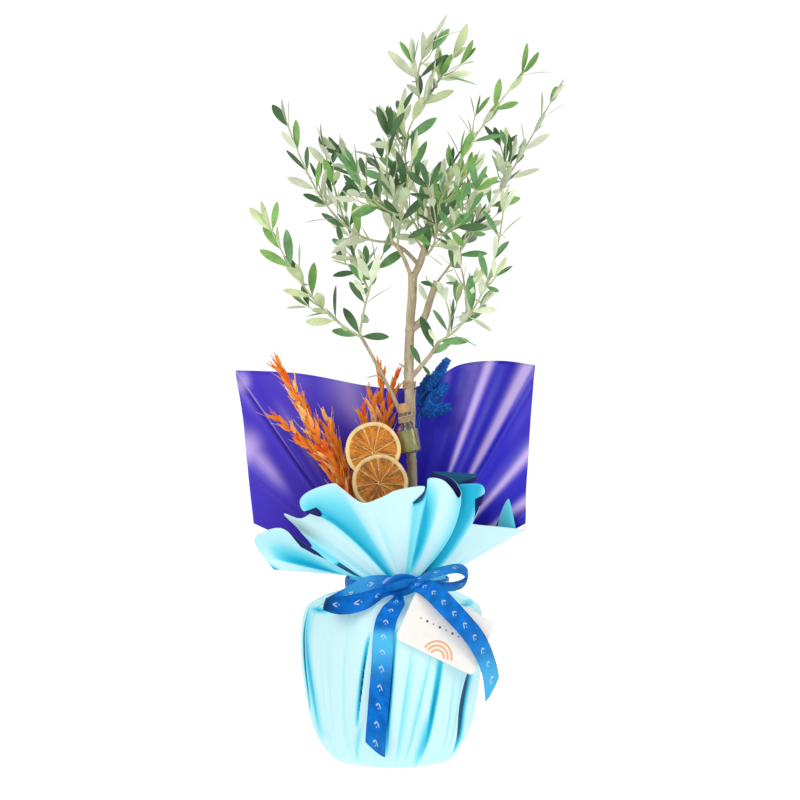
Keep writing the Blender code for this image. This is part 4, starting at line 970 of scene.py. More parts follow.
class Finish:
    """A material in the making: its tree, its shader and the sockets to build on.

    Its colour is mottled from low to high, where low may be a share of the high one.
    """

    def __init__(self, name, low, high, scale, stretch=(1, 1, 1), grain=0.3, by_chart=False):
        low = shade(high, low) if isinstance(low, float) else low
        self.material = bpy.data.materials.new(name)
        self.material.use_nodes = True
        self.material.diffuse_color = high
        self.tree = self.material.node_tree
        self.shader = self.tree.nodes["Principled BSDF"]
        place = add_node(self.tree, "ShaderNodeTexCoord").outputs["UV" if by_chart else "Object"]
        self.place = add_node(
            self.tree, "ShaderNodeMapping", {"Vector": place, "Scale": stretch}
        ).outputs[0]
        inputs = {"Vector": self.place, "Scale": scale, "Low": low, "High": high, "Grain": grain}
        mottle = add_node(self.tree, "ShaderNodeGroup", inputs, node_tree=mottle_group())
        self.colour, self.mask = mottle.outputs
        self.feed(self.colour, "Base Color")

    def feed(self, socket, name):
        """Join a socket to one of the shader's."""
        self.tree.links.new(socket, self.shader.inputs[name])
        return self

    def mark(self, name):
        """The value of one of the mesh's own attributes."""
        return add_node(self.tree, "ShaderNodeAttribute", attribute_name=name).outputs["Fac"]

    def over(self, share, tint):
        """Mix a colour over the surface by a share."""
        self.colour = blended(self.tree, share, self.colour, tint)
        return self.feed(self.colour, "Base Color")

    def ramp(self, value, low, high, tint, most=1):
        """Mix a colour over the surface as a value goes from low to high."""
        return self.over(spread(self.tree, value, low, high, 0, most), tint)

    def painted_glow(self, share):
        """A painted glow: part of a thin sheet's colour given out as light, in place of light
        through it.
        """
        for name, part in (("Emission Color", share), ("Base Color", 1 - share)):
            self.feed(blended(self.tree, 1, self.colour, grey(part), "MULTIPLY"), name)
        return self.fixed(Emission_Strength=1)

    def rough(self, low, high):
        """A roughness that wanders between two values with the mottle."""
        return self.feed(spread(self.tree, self.mask, 0, 1, low, high), "Roughness")

    def relief(self, scale, distance, strength=0.5):
        """Fine bumps, at a number to the metre and a height in metres."""
        inputs = {"Vector": self.place, "Scale": scale, "Strength": strength, "Distance": distance}
        relief = add_node(self.tree, "ShaderNodeGroup", inputs, node_tree=relief_group())
        return self.feed(relief.outputs["Normal"], "Normal")

    def fixed(self, **values):
        """Constants of the shader, named with _ for each space."""
        for name, value in values.items():
            self.shader.inputs[name.replace("_", " ")].default_value = value
        return self


def dress(name, material):
    """Put a material on a node that keeps its own shape."""
    for slot in frame["nodes"][name].material_slots:
        slot.material = material


# ---- pot and soil


def make_pot_and_soil(context):
    """The nursery pot's plastic, and a lumpy top to the soil in it."""
    sizes = context.scene.olive_wrapping
    plastic = Finish("Pot plastic", tone(26, 26, 28), tone(44, 44, 46), 30)
    dress("nursery_pot", plastic.rough(0.42, 0.6).relief(900, 0.0002, 0.25).material)

    inner = POT_FOOT_RADIUS - 2.2
    slope = (POT_RIM_RADIUS - POT_FOOT_RADIUS) / (POT_TOP - POT_FLOOR)
    depth = SOIL_TOP - POT_FLOOR

    def soil_at(u, v):
        angle = FULL_TURN * u
        if v < 0.2:
            return round_z(inner * v / 0.2, angle, POT_FLOOR)
        if v < 0.4:
            rise = depth * (v - 0.2) / 0.2
            return round_z(inner + slope * rise, angle, POT_FLOOR + rise)
        place = round_z((inner + slope * depth) * (1 - v) / 0.6, angle)
        lumps = sum(
            noise(place * scale) * height
            for scale, height in ((0.16, 1.6), (0.5, 0.9), (1.3, 0.4))
        )
        return place + Z * (SOIL_TOP - 1.2 + lumps * ease(0.4, 0.46, v))

    shape = closed_up(surface(96, 50, soil_at))
    earth = Finish("Potting soil", 0.35, sizes.soil, 240, grain=1)
    earth.rough(0.85, 1).relief(700, 0.0016, 0.9)
    finished("soil_surface", shape, [earth.material], ["soil"])


# ---- the film


def crease_at(azimuth, height):
    """How deep the bag's creases are at a place, and how dark their painted shade is there."""
    depth = tint = 0
    for crease in CREASES:
        if not crease.foot < height < crease.top:
            continue
        share = (height - crease.foot) / (crease.top - crease.foot)
        middle = crease.foot_azimuth + (crease.top_azimuth - crease.foot_azimuth) * share
        middle += crease.bend * 4 * share * (1 - share)
        away = ((azimuth - middle + 180) % 360 - 180) / crease.width
        if -1 < away < 0.3:
            flank = (1 + away) if away < 0 else 1 - away / 0.3
            taper = sin(pi * share) ** 0.7
            depth = max(depth, crease.depth * taper * flank**1.6)
            if crease.tint > 0.9:
                dark = ease(0.35, 0.9, flank)
            else:
                dark = flank ** (2.2 if crease.tint < 0.6 else 1.4)
            tint = max(tint, crease.tint * taper**0.6 * dark)
    return depth, tint


def neck_pleat(azimuth):
    """The small pleats that the ribbon gathers at the neck."""
    return 1.2 * cos(radians(17 * azimuth)) + 0.8 * cos(radians(29 * azimuth + 40))


def fine_pleats(azimuth, reach):
    """Narrow gathers, from -1 to 1, that fade out with reach, 0 at the ribbon to 1."""
    place = round_z(1, radians(azimuth))
    wider = noise(place * 7 + Vector((4, 0, reach * 1.2)))
    return noise(place * 14) * (1 - reach) + wider


class Film:
    """The one sheet of film, from the pot's underside to the collar's edge."""

    def __init__(self):
        self.outline = evened([(radius, 0, height) for height, radius in BAG_OUTLINE], 200)
        self.azimuths = [station.azimuth for station in COLLAR_EDGE]
        self.azimuths.append(COLLAR_EDGE[0].azimuth - 360)
        self.painted_shades = [station.tint for station in COLLAR_EDGE] + [COLLAR_EDGE[0].tint]
        self.edge = [station[:3] for station in COLLAR_EDGE]

    def at(self, u, v):
        """The place and the painted shade of the folds, at a share round and a share up."""
        azimuth = between(self.azimuths, u)
        foot, shoulder, band, top = FILM_STEPS
        if v < foot + 1e-6:
            return self.under(azimuth, v / foot)
        if v < shoulder + 1e-6:
            return self.bag(azimuth, (v - foot) / (shoulder - foot))
        if v < band + 1e-6:
            # The part under the ribbon takes an even painted shade.
            return self.rise(azimuth, (v - shoulder) / (band - shoulder)), 0.55
        return self.collar(azimuth, u, (v - band) / (top - band))

    def under(self, azimuth, share):
        """The flat underside, gathered in folds to its middle, its painted shade deeper inwards."""
        return round_z(BAG_FOOT_RADIUS * share, radians(azimuth)), 0.2 * (1 - share)

    def bag(self, azimuth, share):
        """The loose bag: creases, soft waves, gathers under the ribbon, and painted shade in them.
        """
        angle = radians(azimuth)
        radius, _, height = between(self.outline, share)
        loose = ease(1, 16, height) * (1 - ease(150, 166, height))
        depth, tint = crease_at(azimuth, height)
        around = round_z(1, angle)
        wave, stripes, crinkle = (
            noise(around * scale + Vector((x, y, height * rise)))
            for scale, x, y, rise in ((2.6, 0, 0, 0.004), (8, 3, 7, 0.006), (24, 0, 5, 0.05))
        )
        stripes = max(stripes, 0)
        gathers = ease(118, 160, height) * (1 - ease(160, 168, height))
        pleat = fine_pleats(azimuth, 0.2)
        radius += 1.5 * loose * cos(radians(5 * azimuth + 180))
        sag = ease(96, 150, height) * (1 - ease(157, 167, height))
        height -= 5 * sag * bell_round(azimuth, -12, 34)
        radius -= loose * (depth + 0.9 * abs(wave) + 0.8 * stripes + 0.25 * max(crinkle, 0))
        radius -= gathers * 2.6 * max(pleat, -0.3)
        radius += neck_pleat(azimuth) * ease(150, 166, height)
        # Painted shade: creases, gathers, stripes, under the ribbon and along the shoulder's rim.
        left_rim = bell_round(azimuth, -152, 12) + 0.6 * bell_round(azimuth, 60, 20)
        tint = max(
            tint,
            gathers * 0.9 * max(pleat, 0) ** 1.3,
            loose * 0.35 * stripes,
            0.55 * ease(163, 170, height),
            1.15 * bell(height, 151.5, 1.7) * left_rim,
            1.15 * bell(height, 155, 1.7) * bell_round(azimuth, -18, 26),
        )
        lift = 1.4 * gathers * max(-pleat, 0)
        shift = NECK_SHIFT * ease(120, 166, height)
        return round_z(radius, angle, height + lift, shift), tint

    def rise(self, azimuth, share):
        """The upright part that the ribbon holds."""
        height = NECK_HEIGHT + (BAND_HALF + 1.3) * share
        return round_z(NECK_RADIUS + neck_pleat(azimuth), radians(azimuth), height, NECK_SHIFT)

    def collar(self, azimuth, u, share):
        """The ruffled edge, straight from the neck to each part of the edge, with gathers and
        painted shade.
        """
        count = len(self.edge)
        station = u * count
        edge = through(self.edge, u, closed=True)
        settled, start = max(
            (bell(station, middle, reach), start) for middle, reach, start in SETTLED
        )
        if settled > 0.02:
            near = [
                through(self.edge, (u + step / count) % 1, closed=True)
                for step in (-2, -1, 0, 1, 2)
            ]
            smooth = sum(near, Vector()) / len(near)
            edge = edge.lerp(smooth.lerp(edge, ease(start, 0.98, share)), settled)
        place = self.rise(azimuth, 1).lerp(edge, share)
        for middle, reach, sideways, upwards in BULGES:
            bulge = bell(station, middle, reach) * 4 * share * (1 - share)
            place += Vector((sideways * bulge, 0, upwards * bulge))
        outward = Vector((place.x - NECK_SHIFT, place.y, 0)).normalized()
        pleat = fine_pleats(azimuth, share)
        gathered = sin(pi * min(share * 1.15 + 0.04, 1)) * (1 - ease(0.25, 0.95, share))
        ripple = noise(round_z(7.3, FULL_TURN * u, share * 1.4))
        ripple *= ease(0.15, 0.4, share) * (1 - ease(0.85, 1, share))
        place -= outward * (1.5 * gathered * pleat + 0.9 * ripple)
        # Painted shade: along the stations, in gathers and ripples, near the ribbon and in folds.
        tint = max(
            between(self.painted_shades, u),
            (1 - ease(0.05, 0.6, share)) * (0.1 + 0.9 * max(pleat, 0)),
            0.3 * ripple,
            0.7 * (1 - ease(0, 0.12, share)),
            0,
        )
        for fold in FOLD_SHADES:
            away = (station - fold.station) / fold.reach
            if -0.12 < away < 1 and fold.low < share < fold.high:
                flank = 1 - away if away > 0 else 1 + away / 0.12
                fade = sin(pi * (share - fold.low) / (fold.high - fold.low)) ** 0.6
                shadow = fold.tint * fade * flank**0.85
                tint = max(tint, shadow if fold.tint > 1.3 else min(shadow, 0.94))
        return place, tint


def make_film(context):
    """The aqua film: a bag round the pot, gathered at the neck, and a ruffled collar.

    Its pale outer side has painted shade of cyan and teal in its folds and a painted glow,
    and its inner side is navy.
    """
    sizes = context.scene.olive_wrapping
    shape = joined(surface(FILM_COLUMNS, sum(FILM_ROWS), Film().at, ("fold",)))
    bmesh.ops.reverse_faces(shape, faces=shape.faces)
    inner = Finish("Film inside", 0.8, sizes.inside, 20)
    inner.rough(0.32, 0.45).relief(80, 0.0006, 0.15).fixed(Specular_IOR_Level=0.15)
    outer = Finish("Film", 0.97, sizes.pale, 14, grain=0.15)
    # The fold mark is painted shade: pale film turns cyan, then teal, where it lies in shade.
    fold = outer.mark("fold")
    outer.ramp(fold, 0.04, 0.55, sizes.shallow).ramp(fold, 0.4, 0.92, sizes.fold)
    # A painted glow lifts the film's shade, as if light came through it.
    outer.ramp(fold, 0.88, 1.12, sizes.deep).painted_glow(0.26)
    outer.rough(0.3, 0.42).relief(60, 0.0008, 0.12)
    outer.fixed(Specular_IOR_Level=0.3, Coat_Weight=0.06, Coat_Roughness=0.2)
    replaced = ["wrap_bag", "wrap_collar"]
    materials = [outer.material, inner.material]
    piece = finished("wrap_film", shape, materials, replaced, 75)
    thickened(piece, sizes.film_thickness, -1, 1)


# ---- the purple sheet


def backing_edge_at(place):
    """A point on the sheet's edge, which is smooth between its two top corners."""
    ends = (0, *BACKING_CORNERS, len(BACKING_EDGE) - 1)
    for start, end in zip(ends, ends[1:]):
        if place <= end:
            break
    return through(BACKING_EDGE[start:end + 1], (place - start) / (end - start))


def backing_at(u, v):
    """A place on the purple sheet and its painted highlight: u from right to left, v upwards."""
    edge = backing_edge_at(u * (len(BACKING_EDGE) - 1))
    wide, deep = BACKING_FOOT
    foot = Vector((NECK_SHIFT + wide * cos(pi * u), 12 + deep * sin(pi * u), SOIL_TOP - 1))
    gather = Vector((foot.x, foot.y, NECK_HEIGHT + 6))
    if v < 0.2:
        return foot.lerp(gather, v / 0.2), 0
    share = (v - 0.2) / 0.8
    place = gather.lerp(edge, share)
    place.y += BACKING_WAVE * share * sin(pi * BACKING_WAVES * u) * sin(pi * u)
    for middle, width, height in RIDGES:
        place.y -= height * bell(u, middle, width) * ease(0.1, 0.7, share)
    place.y += 0.8 * grain_at(u * 9, share * 3) * ease(0.2, 0.8, share)
    gloss = 0
    for streak in STREAKS:
        if streak.low < share:
            fade = ease(streak.low, streak.low + 0.3, share)
            fade *= 1 - ease(streak.high - 0.2, streak.high, share)
            away = abs(u - streak.place) / (streak.width * (0.6 + 0.6 * share))
            gloss = max(gloss, streak.strength * fade * exp(-(away**1.4)))
    for x, wide, z, tall, strength in SHEENS:
        gloss = max(gloss, strength * bell(place.x, x, wide) * bell(place.z, z, tall))
    return place, gloss


def make_backing(context):
    """The upright purple sheet behind the stem, with painted highlights in lilac streaks."""
    sizes = context.scene.olive_wrapping
    shape = surface(260, 64, backing_at, ("gloss",))
    made = Finish("Purple sheet", 0.82, sizes.purple, 9, (1, 1, 0.5), 0.12)
    across = add_node(made.tree, "ShaderNodeSeparateXYZ", {"Vector": made.place}).outputs["X"]
    made.ramp(across, 0.04, -0.06, sizes.violet)
    # Lilac painted highlights along the streaks and patches.
    made.ramp(made.mark("gloss"), 0.05, 1, sizes.lilac)
    made.rough(0.28, 0.4).relief(40, 0.0008, 0.1).fixed(Specular_IOR_Level=0.25)
    piece = finished(
        "purple_sheet", shape, [made.material], ["backing_sheet"], 75
    )
    thickened(piece, sizes.film_thickness, 0)


# ---- ribbon


def band_at(u, v):
    """A place on the band round the neck, and its painted light."""
    azimuth = -360 * u
    out, up = between([Vector(pair) for pair in BAND_PROFILE], v)
    radius = BAND_RADIUS + out * (1 - 0.35 * max(fine_pleats(azimuth, 0.3), 0))
    return round_z(radius, radians(azimuth), NECK_HEIGHT + up * BAND_HALF, NECK_SHIFT), 0.12


def knot_at(u, v):
    """A place on the knot, an egg whose folds run to the two ends of the bow, and its painted
    light.
    """
    turn = FULL_TURN * u
    lean = pi * (v - 0.5)
    folds = 0.5 + 0.5 * cos(5 * turn + 2.2 * sin(lean) + 0.6)
    groove = max(folds**4 * cos(lean), bell(v, 0.34, 0.04) * (0.6 + 0.4 * cos(turn)))
    ring = cos(lean) * (1 - 0.17 * groove)
    half = KNOT_SIZE / 2
    place = Vector((half.x * sin(lean), half.y * ring * cos(turn), half.z * ring * sin(turn)))
    # A faint painted highlight, and painted shade in the grooves.
    return swung(place, radians(-6), Y) + KNOT_CENTRE, 0.2 - 0.8 * groove


def laid_on(stations, nodes, count):
    """Finer stations, each after the first moved along Y to rest just off some nodes."""
    trees = [tree_of_node(name) for name in nodes]
    points, widths = zip(*stations)
    shares = tapered(0, 1, count)
    fronts = []
    for share in shares:
        middle = through(points, share)
        side = through(widths, share).normalized() * RIBBON_WIDTH / 2
        front = middle.y
        for across in (-1, -0.6, -0.2, 0.2, 0.6, 1):
            for rise in (-6, -3, 0, 3, 6):
                start = middle + side * across
                start = Vector((start.x, -300, start.z + rise))
                for tree in trees:
                    hit = tree.ray_cast(start, Y)[0]
                    if hit is not None and hit.y < 0:
                        front = min(front, hit.y - side.y * across - TAIL_GAP)
        fronts.append(front)
    placed = [stations[0]]
    for index, share in list(enumerate(shares))[1:]:
        middle = through(points, share)
        middle.y = min(fronts[index - 1:index + 2])
        placed.append((middle, through(widths, share)))
    return placed


def make_strip(name, stations, steps, sizes, satin, painted_light_along, cup, cuts=None):
    """A ribbon along stations, with painted light and shade that change along it.

    A loop is pinched at both its ends.  A tail is pinched at its first, and has cuts, which
    are how much shorter its two edges are than the stations, for a slanted end.
    """
    points, widths = zip(*stations)
    path = partial(through, points)
    length = travelled([path(index / steps) for index in range(steps + 1)])[-1]
    full = sizes.width / MM
    first, second = cuts or (0, 0)

    def strip_at(u, v):
        share = u * (1 - (first * (1 - v) + second * v) / length)
        across = through(widths, share).normalized()
        out = heading(path, share, 0.01).cross(across).normalized()
        from_knot = share if cuts else min(share, 1 - share)
        pinch = 1 - ease(0, 0.13 if cuts else 0.3, from_knot)
        width = full * (PINCH + (1 - PINCH) * (1 - pinch))
        bulge = cup * (1 - (2 * v - 1) ** 2) + 0.9 * pinch * cos(FULL_TURN * 2 * v)
        bulge += 0.35 * grain_at(share * 9, v * 1.5, len("bow_" + name))
        return path(share) + across * width * (v - 0.5) + out * bulge, between(painted_light_along, share)

    shape = surface(steps, 10, strip_at, ("gloss",))
    recharted(shape, lambda u, v: (u * length, (v - 0.5) * full))
    piece = finished("bow_" + name, shape, [satin], ["ribbon_" + name], 60)
    thickened(piece, sizes.thickness, 0)


def satin_finish(sizes):
    """Blue satin: fine threads across it, painted light and shade along it, and sprigs."""
    made = Finish("Blue satin", 0.6, sizes.satin, 0.09, by_chart=True)
    tree = made.tree
    gloss = made.mark("gloss")
    # Painted highlight above 0, and painted shade below 0 in the knot's grooves and a loop's end.
    made.ramp(gloss, 0, 1, sizes.gloss).ramp(gloss, -0.05, -1, shade(sizes.satin, 0.22))
    chart = add_node(tree, "ShaderNodeUVMap", uv_map="UVMap").outputs[0]
    sprig = add_node(tree, "ShaderNodeGroup", {"Vector": chart}, node_tree=sprig_group()).outputs[0]
    made.over(sum_of(tree, "MULTIPLY", sprig, 0.55), sizes.sprig)
    inputs = {"Vector": chart, "Scale": 0.62, "Distortion": 0.4, "Detail": 1}
    threads = add_node(tree, "ShaderNodeTexWave", inputs, bands_direction="X").outputs[1]
    height = sum_of(tree, "ADD", threads, sum_of(tree, "MULTIPLY", sprig, 1.5))
    inputs = {"Strength": 0.4, "Distance": 0.0001, "Height": height}
    made.feed(add_node(tree, "ShaderNodeBump", inputs).outputs[0], "Normal")
    return made.rough(0.3, 0.42).fixed(Specular_IOR_Level=0.1).material


def make_ribbon(context):
    """The band round the neck, the knot, two loops and two tails."""
    sizes = context.scene.olive_ribbon
    satin = satin_finish(sizes)
    band = closed_up(surface(240, 14, band_at, ("gloss",)))
    finished("neck_band", band, [satin], ["ribbon_band"])
    knot = closed_up(surface(96, 60, knot_at, ("gloss",)))
    finished("bow_knot", knot, [satin], ["ribbon_knot"], 75)

    front = laid_on(FRONT_TAIL, ("wrap_bag", "ribbon_loop_left"), 18)
    side = laid_on(RIGHT_TAIL, ("wrap_bag", "gift_tag", "ribbon_loop_right"), 16)
    # Painted light along each strip: above 0 a painted highlight, below 0 painted shade.
    for name, stations, steps, painted_light_along, *shape in (
        ("loop_left", LEFT_LOOP, 96, (0.1, 0.2, 0.5, 0.45, -0.8, -1, -0.1, 0.1, 0.05, 0), 0.8),
        ("loop_right", RIGHT_LOOP, 96, (0.1, 0.15, 0.3, 0.35, 0.2, 0, 0.35, 0.3, 0.2, 0.1), 0.8),
        (
            "tail_front", front, 150,
            (0, 0.02, 0.05, 0.05, 0.02, 0.15, 0.85, 0.8, 0.62, 0.4, 0.2, 0.08, 0.02, 0, 0.05,
             0.15, 0.2, 0.2),
            0.5, (19, 0),
        ),
        (
            "tail_right", side, 150,
            (0, 0, 0.05, 0.05, 0.1, 0.12, 0.1, 0.1, 0.12, 0.15, 0.2, 0.35, 0.55, 0.7, 0.75, 0.7),
            0.4, (0, 18),
        ),
    ):
        make_strip(name, stations, steps, sizes, satin, painted_light_along, *shape)


# ---- tag


def tag_place():
    """The matrix that puts the card's own plane, with its front at -Y, where the tag is."""
    low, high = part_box("gift_tag")
    place = Matrix.Translation((Vector(low) + Vector(high)) / (2 * MM))
    for angle, axis in TAG_TURNS:
        place = place @ Matrix.Rotation(radians(angle), 4, axis)
    return place


def flat_plate(columns, outline_at):
    """A thin closed plate on the card's front, from places given as along and up it."""

    def plate_at(u, v):
        along, up = outline_at(u, v)
        return Vector((along, 0.03 - TAG_THICKNESS / 2, up))

    shape = surface(columns, 1, plate_at)
    bmesh.ops.recalc_face_normals(shape, faces=shape.faces)
    if sum(face.normal.y for face in shape.faces) < 0:
        bmesh.ops.reverse_faces(shape, faces=shape.faces)
    bmesh.ops.solidify(shape, geom=shape.faces[:], thickness=0.1)
    bmesh.ops.recalc_face_normals(shape, faces=shape.faces)
    return shape


def make_tag(context):
    """The card of the tag, and the half rings and dots printed on it."""
    sizes = context.scene.olive_ribbon
    card = Finish("Card", 0.96, sizes.card, 120)
    dress("gift_tag", card.rough(0.55, 0.7).relief(1500, 0.00012, 0.3).material)

    rings = bmesh.new()
    for end, radius in ((-1, 7), (-1, 11), (-1, 15), (1, 6), (1, 10)):

        def ring_at(u, v):
            angle = radians(12 + 156 * u)
            reach = radius + (v - 0.5) * 2
            return 2 + reach * cos(angle), end * (TAG_WIDTH / 2 - 1.2 - reach * sin(angle))

        added(rings, flat_plate(28, ring_at))

    dots = bmesh.new()
    for index in range(9):

        def dot_at(u, v):
            angle = FULL_TURN * u
            reach = (1.3 if index % 2 else 0.8) * v
            return 15 - TAG_LENGTH / 2 + 7 * index + reach * cos(angle), reach * sin(angle)

        added(dots, joined(flat_plate(14, dot_at)))
    added(dots, flat_plate(6, lambda u, v: (-1 + 6 * u, TAG_WIDTH / 2 - 12 + 1.2 * v)))

    peach = sizes.print_colour
    for name, shape, label, low, high, scale in (
        ("tag_rings", rings, "Peach ink", 0.94, peach, 300),
        ("tag_dots", dots, "Grey ink", tone(96, 96, 98), tone(120, 120, 122), 400),
    ):
        bmesh.ops.transform(shape, matrix=tag_place(), verts=shape.verts)
        ink = Finish(label, low, high, scale).rough(0.5, 0.65).relief(1500, 0.0001, 0.2)
        finished(name, shape, [ink.material])


# ---- slices


def slice_shape(radius, segments, seed, hub):
    """A dried orange slice: rind, pith and sunken segments between raised membranes."""
    chance = random.Random(seed)
    walls = [
        FULL_TURN * (index + chance.uniform(-0.26, 0.26)) / segments for index in range(segments)
    ]
    reaches = [chance.choice((1, 1, 1, 0.55)) for wall in walls]

    def face_at(edge, reach, angle):
        """The height of the dried flesh, and how little it is membrane or pith."""
        place = round_z(reach, angle)
        away = place - Vector(hub)
        turn = atan2(away.y, away.x) + 0.05 * noise(place * 0.25)
        wall = 0
        for at, length in zip(walls, reaches):
            arc = abs((turn - at + pi) % FULL_TURN - pi) * away.length
            if away.length > edge * (1 - length):
                near_rind = ease(edge - 6.5, edge - 3.4, reach)
                thin = bell(arc, 0, 0.42 + 0.012 * away.length)
                wall = max(wall, thin, bell(arc, 0, 1.9) * near_rind)
        middle = 1 - ease(1.2, 2.6, away.length)
        rim = ease(edge - 4.4, edge - 3.5, reach)
        pulp = grain_at(turn * 9, away.length * 0.16, seed)
        pale = min(max(wall * (0.75 + 0.4 * pulp), middle, rim), 1)
        hole = 1 - ease(0.5, 1.6, (away - Vector((0.6, 0.4, 0))).length)
        height = 1.55 + 0.55 * pale - 0.5 * (1 - pale) * (1 + pulp) - 1.2 * hole
        return height, max(1 - pale, hole)

    def slice_at(u, v):
        angle = FULL_TURN * u
        step = min(v, 1 - v) * 2
        edge = radius * (1 + 0.012 * cos(2 * angle + seed) + 0.008 * cos(5 * angle))
        if step < SLICE_FACE:
            reach, rind = (edge - SLICE_RIND) * step / SLICE_FACE, 0
            height, flesh = face_at(edge, reach, angle)
        else:
            share = (step - SLICE_FACE) / (1 - SLICE_FACE)
            reach = edge - SLICE_RIND * (1 - ease(0, 0.75, share))
            height = 2.1 * (1 - ease(0.55, 1, share))
            height += 0.4 * sin(pi * min(share * 1.3, 1))
            flesh, rind = 0, ease(0.5, 0.75, share)
        warp = 0.9 * (reach / edge) ** 2 * cos(2 * angle + seed * 1.7)
        return round_z(reach, angle, warp + (height if v < 0.5 else -height)), flesh, rind

    return closed_up(surface(220, 100, slice_at, ("flesh", "rind")))


def make_slices(context):
    """Both dried slices, and the finish of the picks that hold them up."""
    sizes = context.scene.olive_trimmings
    for name, (centre, radius, segments, seed, hub, brown) in SLICES.items():
        flesh = shade(sizes.flesh, brown)
        made = Finish(
            "Dried orange", shade(sizes.flesh, 0.34 * brown), flesh, 0.6, (34, 5, 1), 1, True
        )
        dull, rind = (shade(sizes.rind, share * brown**0.5) for share in (0.8, 1))
        pale = blended(made.tree, made.mask, dull, rind)
        made.ramp(made.mark("flesh"), 0.8, 0.1, pale)
        made.ramp(made.mark("rind"), 0.1, 0.9, shade(tone(248, 196, 96), brown**0.5))
        made.rough(0.36, 0.6).relief(1.6, 0.0005, 0.5).fixed(Specular_IOR_Level=0.35)
        shape = slice_shape(radius, segments, seed, hub)
        upright = Matrix.Rotation(radians(90 - SLICE_TILT), 4, "X")
        matrix = Matrix.Translation(centre) @ upright
        bmesh.ops.transform(shape, matrix=matrix, verts=shape.verts)
        dried = name.replace("orange", "dried")
        finished(dried, shape, [made.material], [name], 60)
    wood = Finish("Pale wood", tone(190, 158, 116), tone(224, 198, 156), 60, (6, 6, 0.4))
    wood.rough(0.6, 0.8).relief(700, 0.0002, 0.4)
    for name in ("slice_pick_upper", "slice_pick_lower"):
        dress(name, wood.material)


# ---- small repeated shapes

# One of many like blades: where it starts, its direction, the side it faces, its length,
# width and thickness, how far it curls and folds, and its offset in the materials.
Blade = namedtuple("Blade", "root along face length width thickness curl fold slot")


def blade_template(outline, two_sided=False):
    """A hollow blade one unit long and wide, from its half widths along it.

    Its two sides meet along the margin, its middle line stands out on both, and its two
    narrow ends are open.
    """
    shape = bmesh.new()
    spans = len(outline) - 1
    bmesh.ops.create_grid(shape, x_segments=spans, y_segments=2, size=0.5)
    for vert in shape.verts:
        share, half = outline[round((vert.co.x + 0.5) * spans)]
        vert.co = Vector((share, 2 * vert.co.y * half, 0.5 if abs(vert.co.y) < 0.01 else 0))
    geometry = shape.verts[:] + shape.edges[:] + shape.faces[:]
    under = bmesh.ops.duplicate(shape, geom=geometry)["geom"]
    verts = [item for item in under if isinstance(item, bmesh.types.BMVert)]
    faces = [item for item in under if isinstance(item, bmesh.types.BMFace)]
    bmesh.ops.scale(shape, vec=(1, 1, -1), verts=verts)
    bmesh.ops.reverse_faces(shape, faces=faces)
    for face in faces:
        face.material_index = int(two_sided)
    return joined(shape, 0.0001)


def scattered(name, template, blades, materials, replaced):
    """Many like blades as one joined mesh."""
    template.verts.ensure_lookup_table()
    own = np.array([vert.co for vert in template.verts])
    faces = [[vert.index for vert in face.verts] for face in template.faces]
    slots = np.array([face.material_index for face in template.faces])
    template.free()
    x, y, z = own.T
    verts, polygons, indices = [], [], []
    for number, blade in enumerate(blades):
        along, face = np.array(blade.along), np.array(blade.face)
        rise = z * blade.thickness + np.abs(y) * blade.fold * blade.width
        rise -= blade.curl * blade.length * x**2
        reach = x * blade.length * (1 - 0.3 * abs(blade.curl) * x)
        place = np.array(blade.root) + np.outer(reach, along)
        place += np.outer(y * blade.width, np.cross(face, along)) + np.outer(rise, face)
        verts.append(place)
        first = number * len(own)
        polygons += [[first + index for index in corners] for corners in faces]
        indices.append(slots + blade.slot)
    mesh = bpy.data.meshes.new(name)
    mesh.from_pydata((np.concatenate(verts) * MM).tolist(), [], polygons)
    mesh.polygons.foreach_set("material_index", np.concatenate(indices).astype(np.int32))
    mesh.update()
    piece_of(mesh, materials, replaced, 80)


def turned_face(along, face, angle=0):
    """A face direction square to a blade, turned about the blade's own length."""
    return swung((face - along * face.dot(along)).normalized(), angle, along)


def off_axis(axis, turn):
    """A direction square to an axis, at a turn about it."""
    return swung(axis.orthogonal().normalized(), turn, axis)


def ribbed(distance, angle):
    """The relief of a thin stem with four low ribs."""
    return 0.06 * cos(4 * angle)


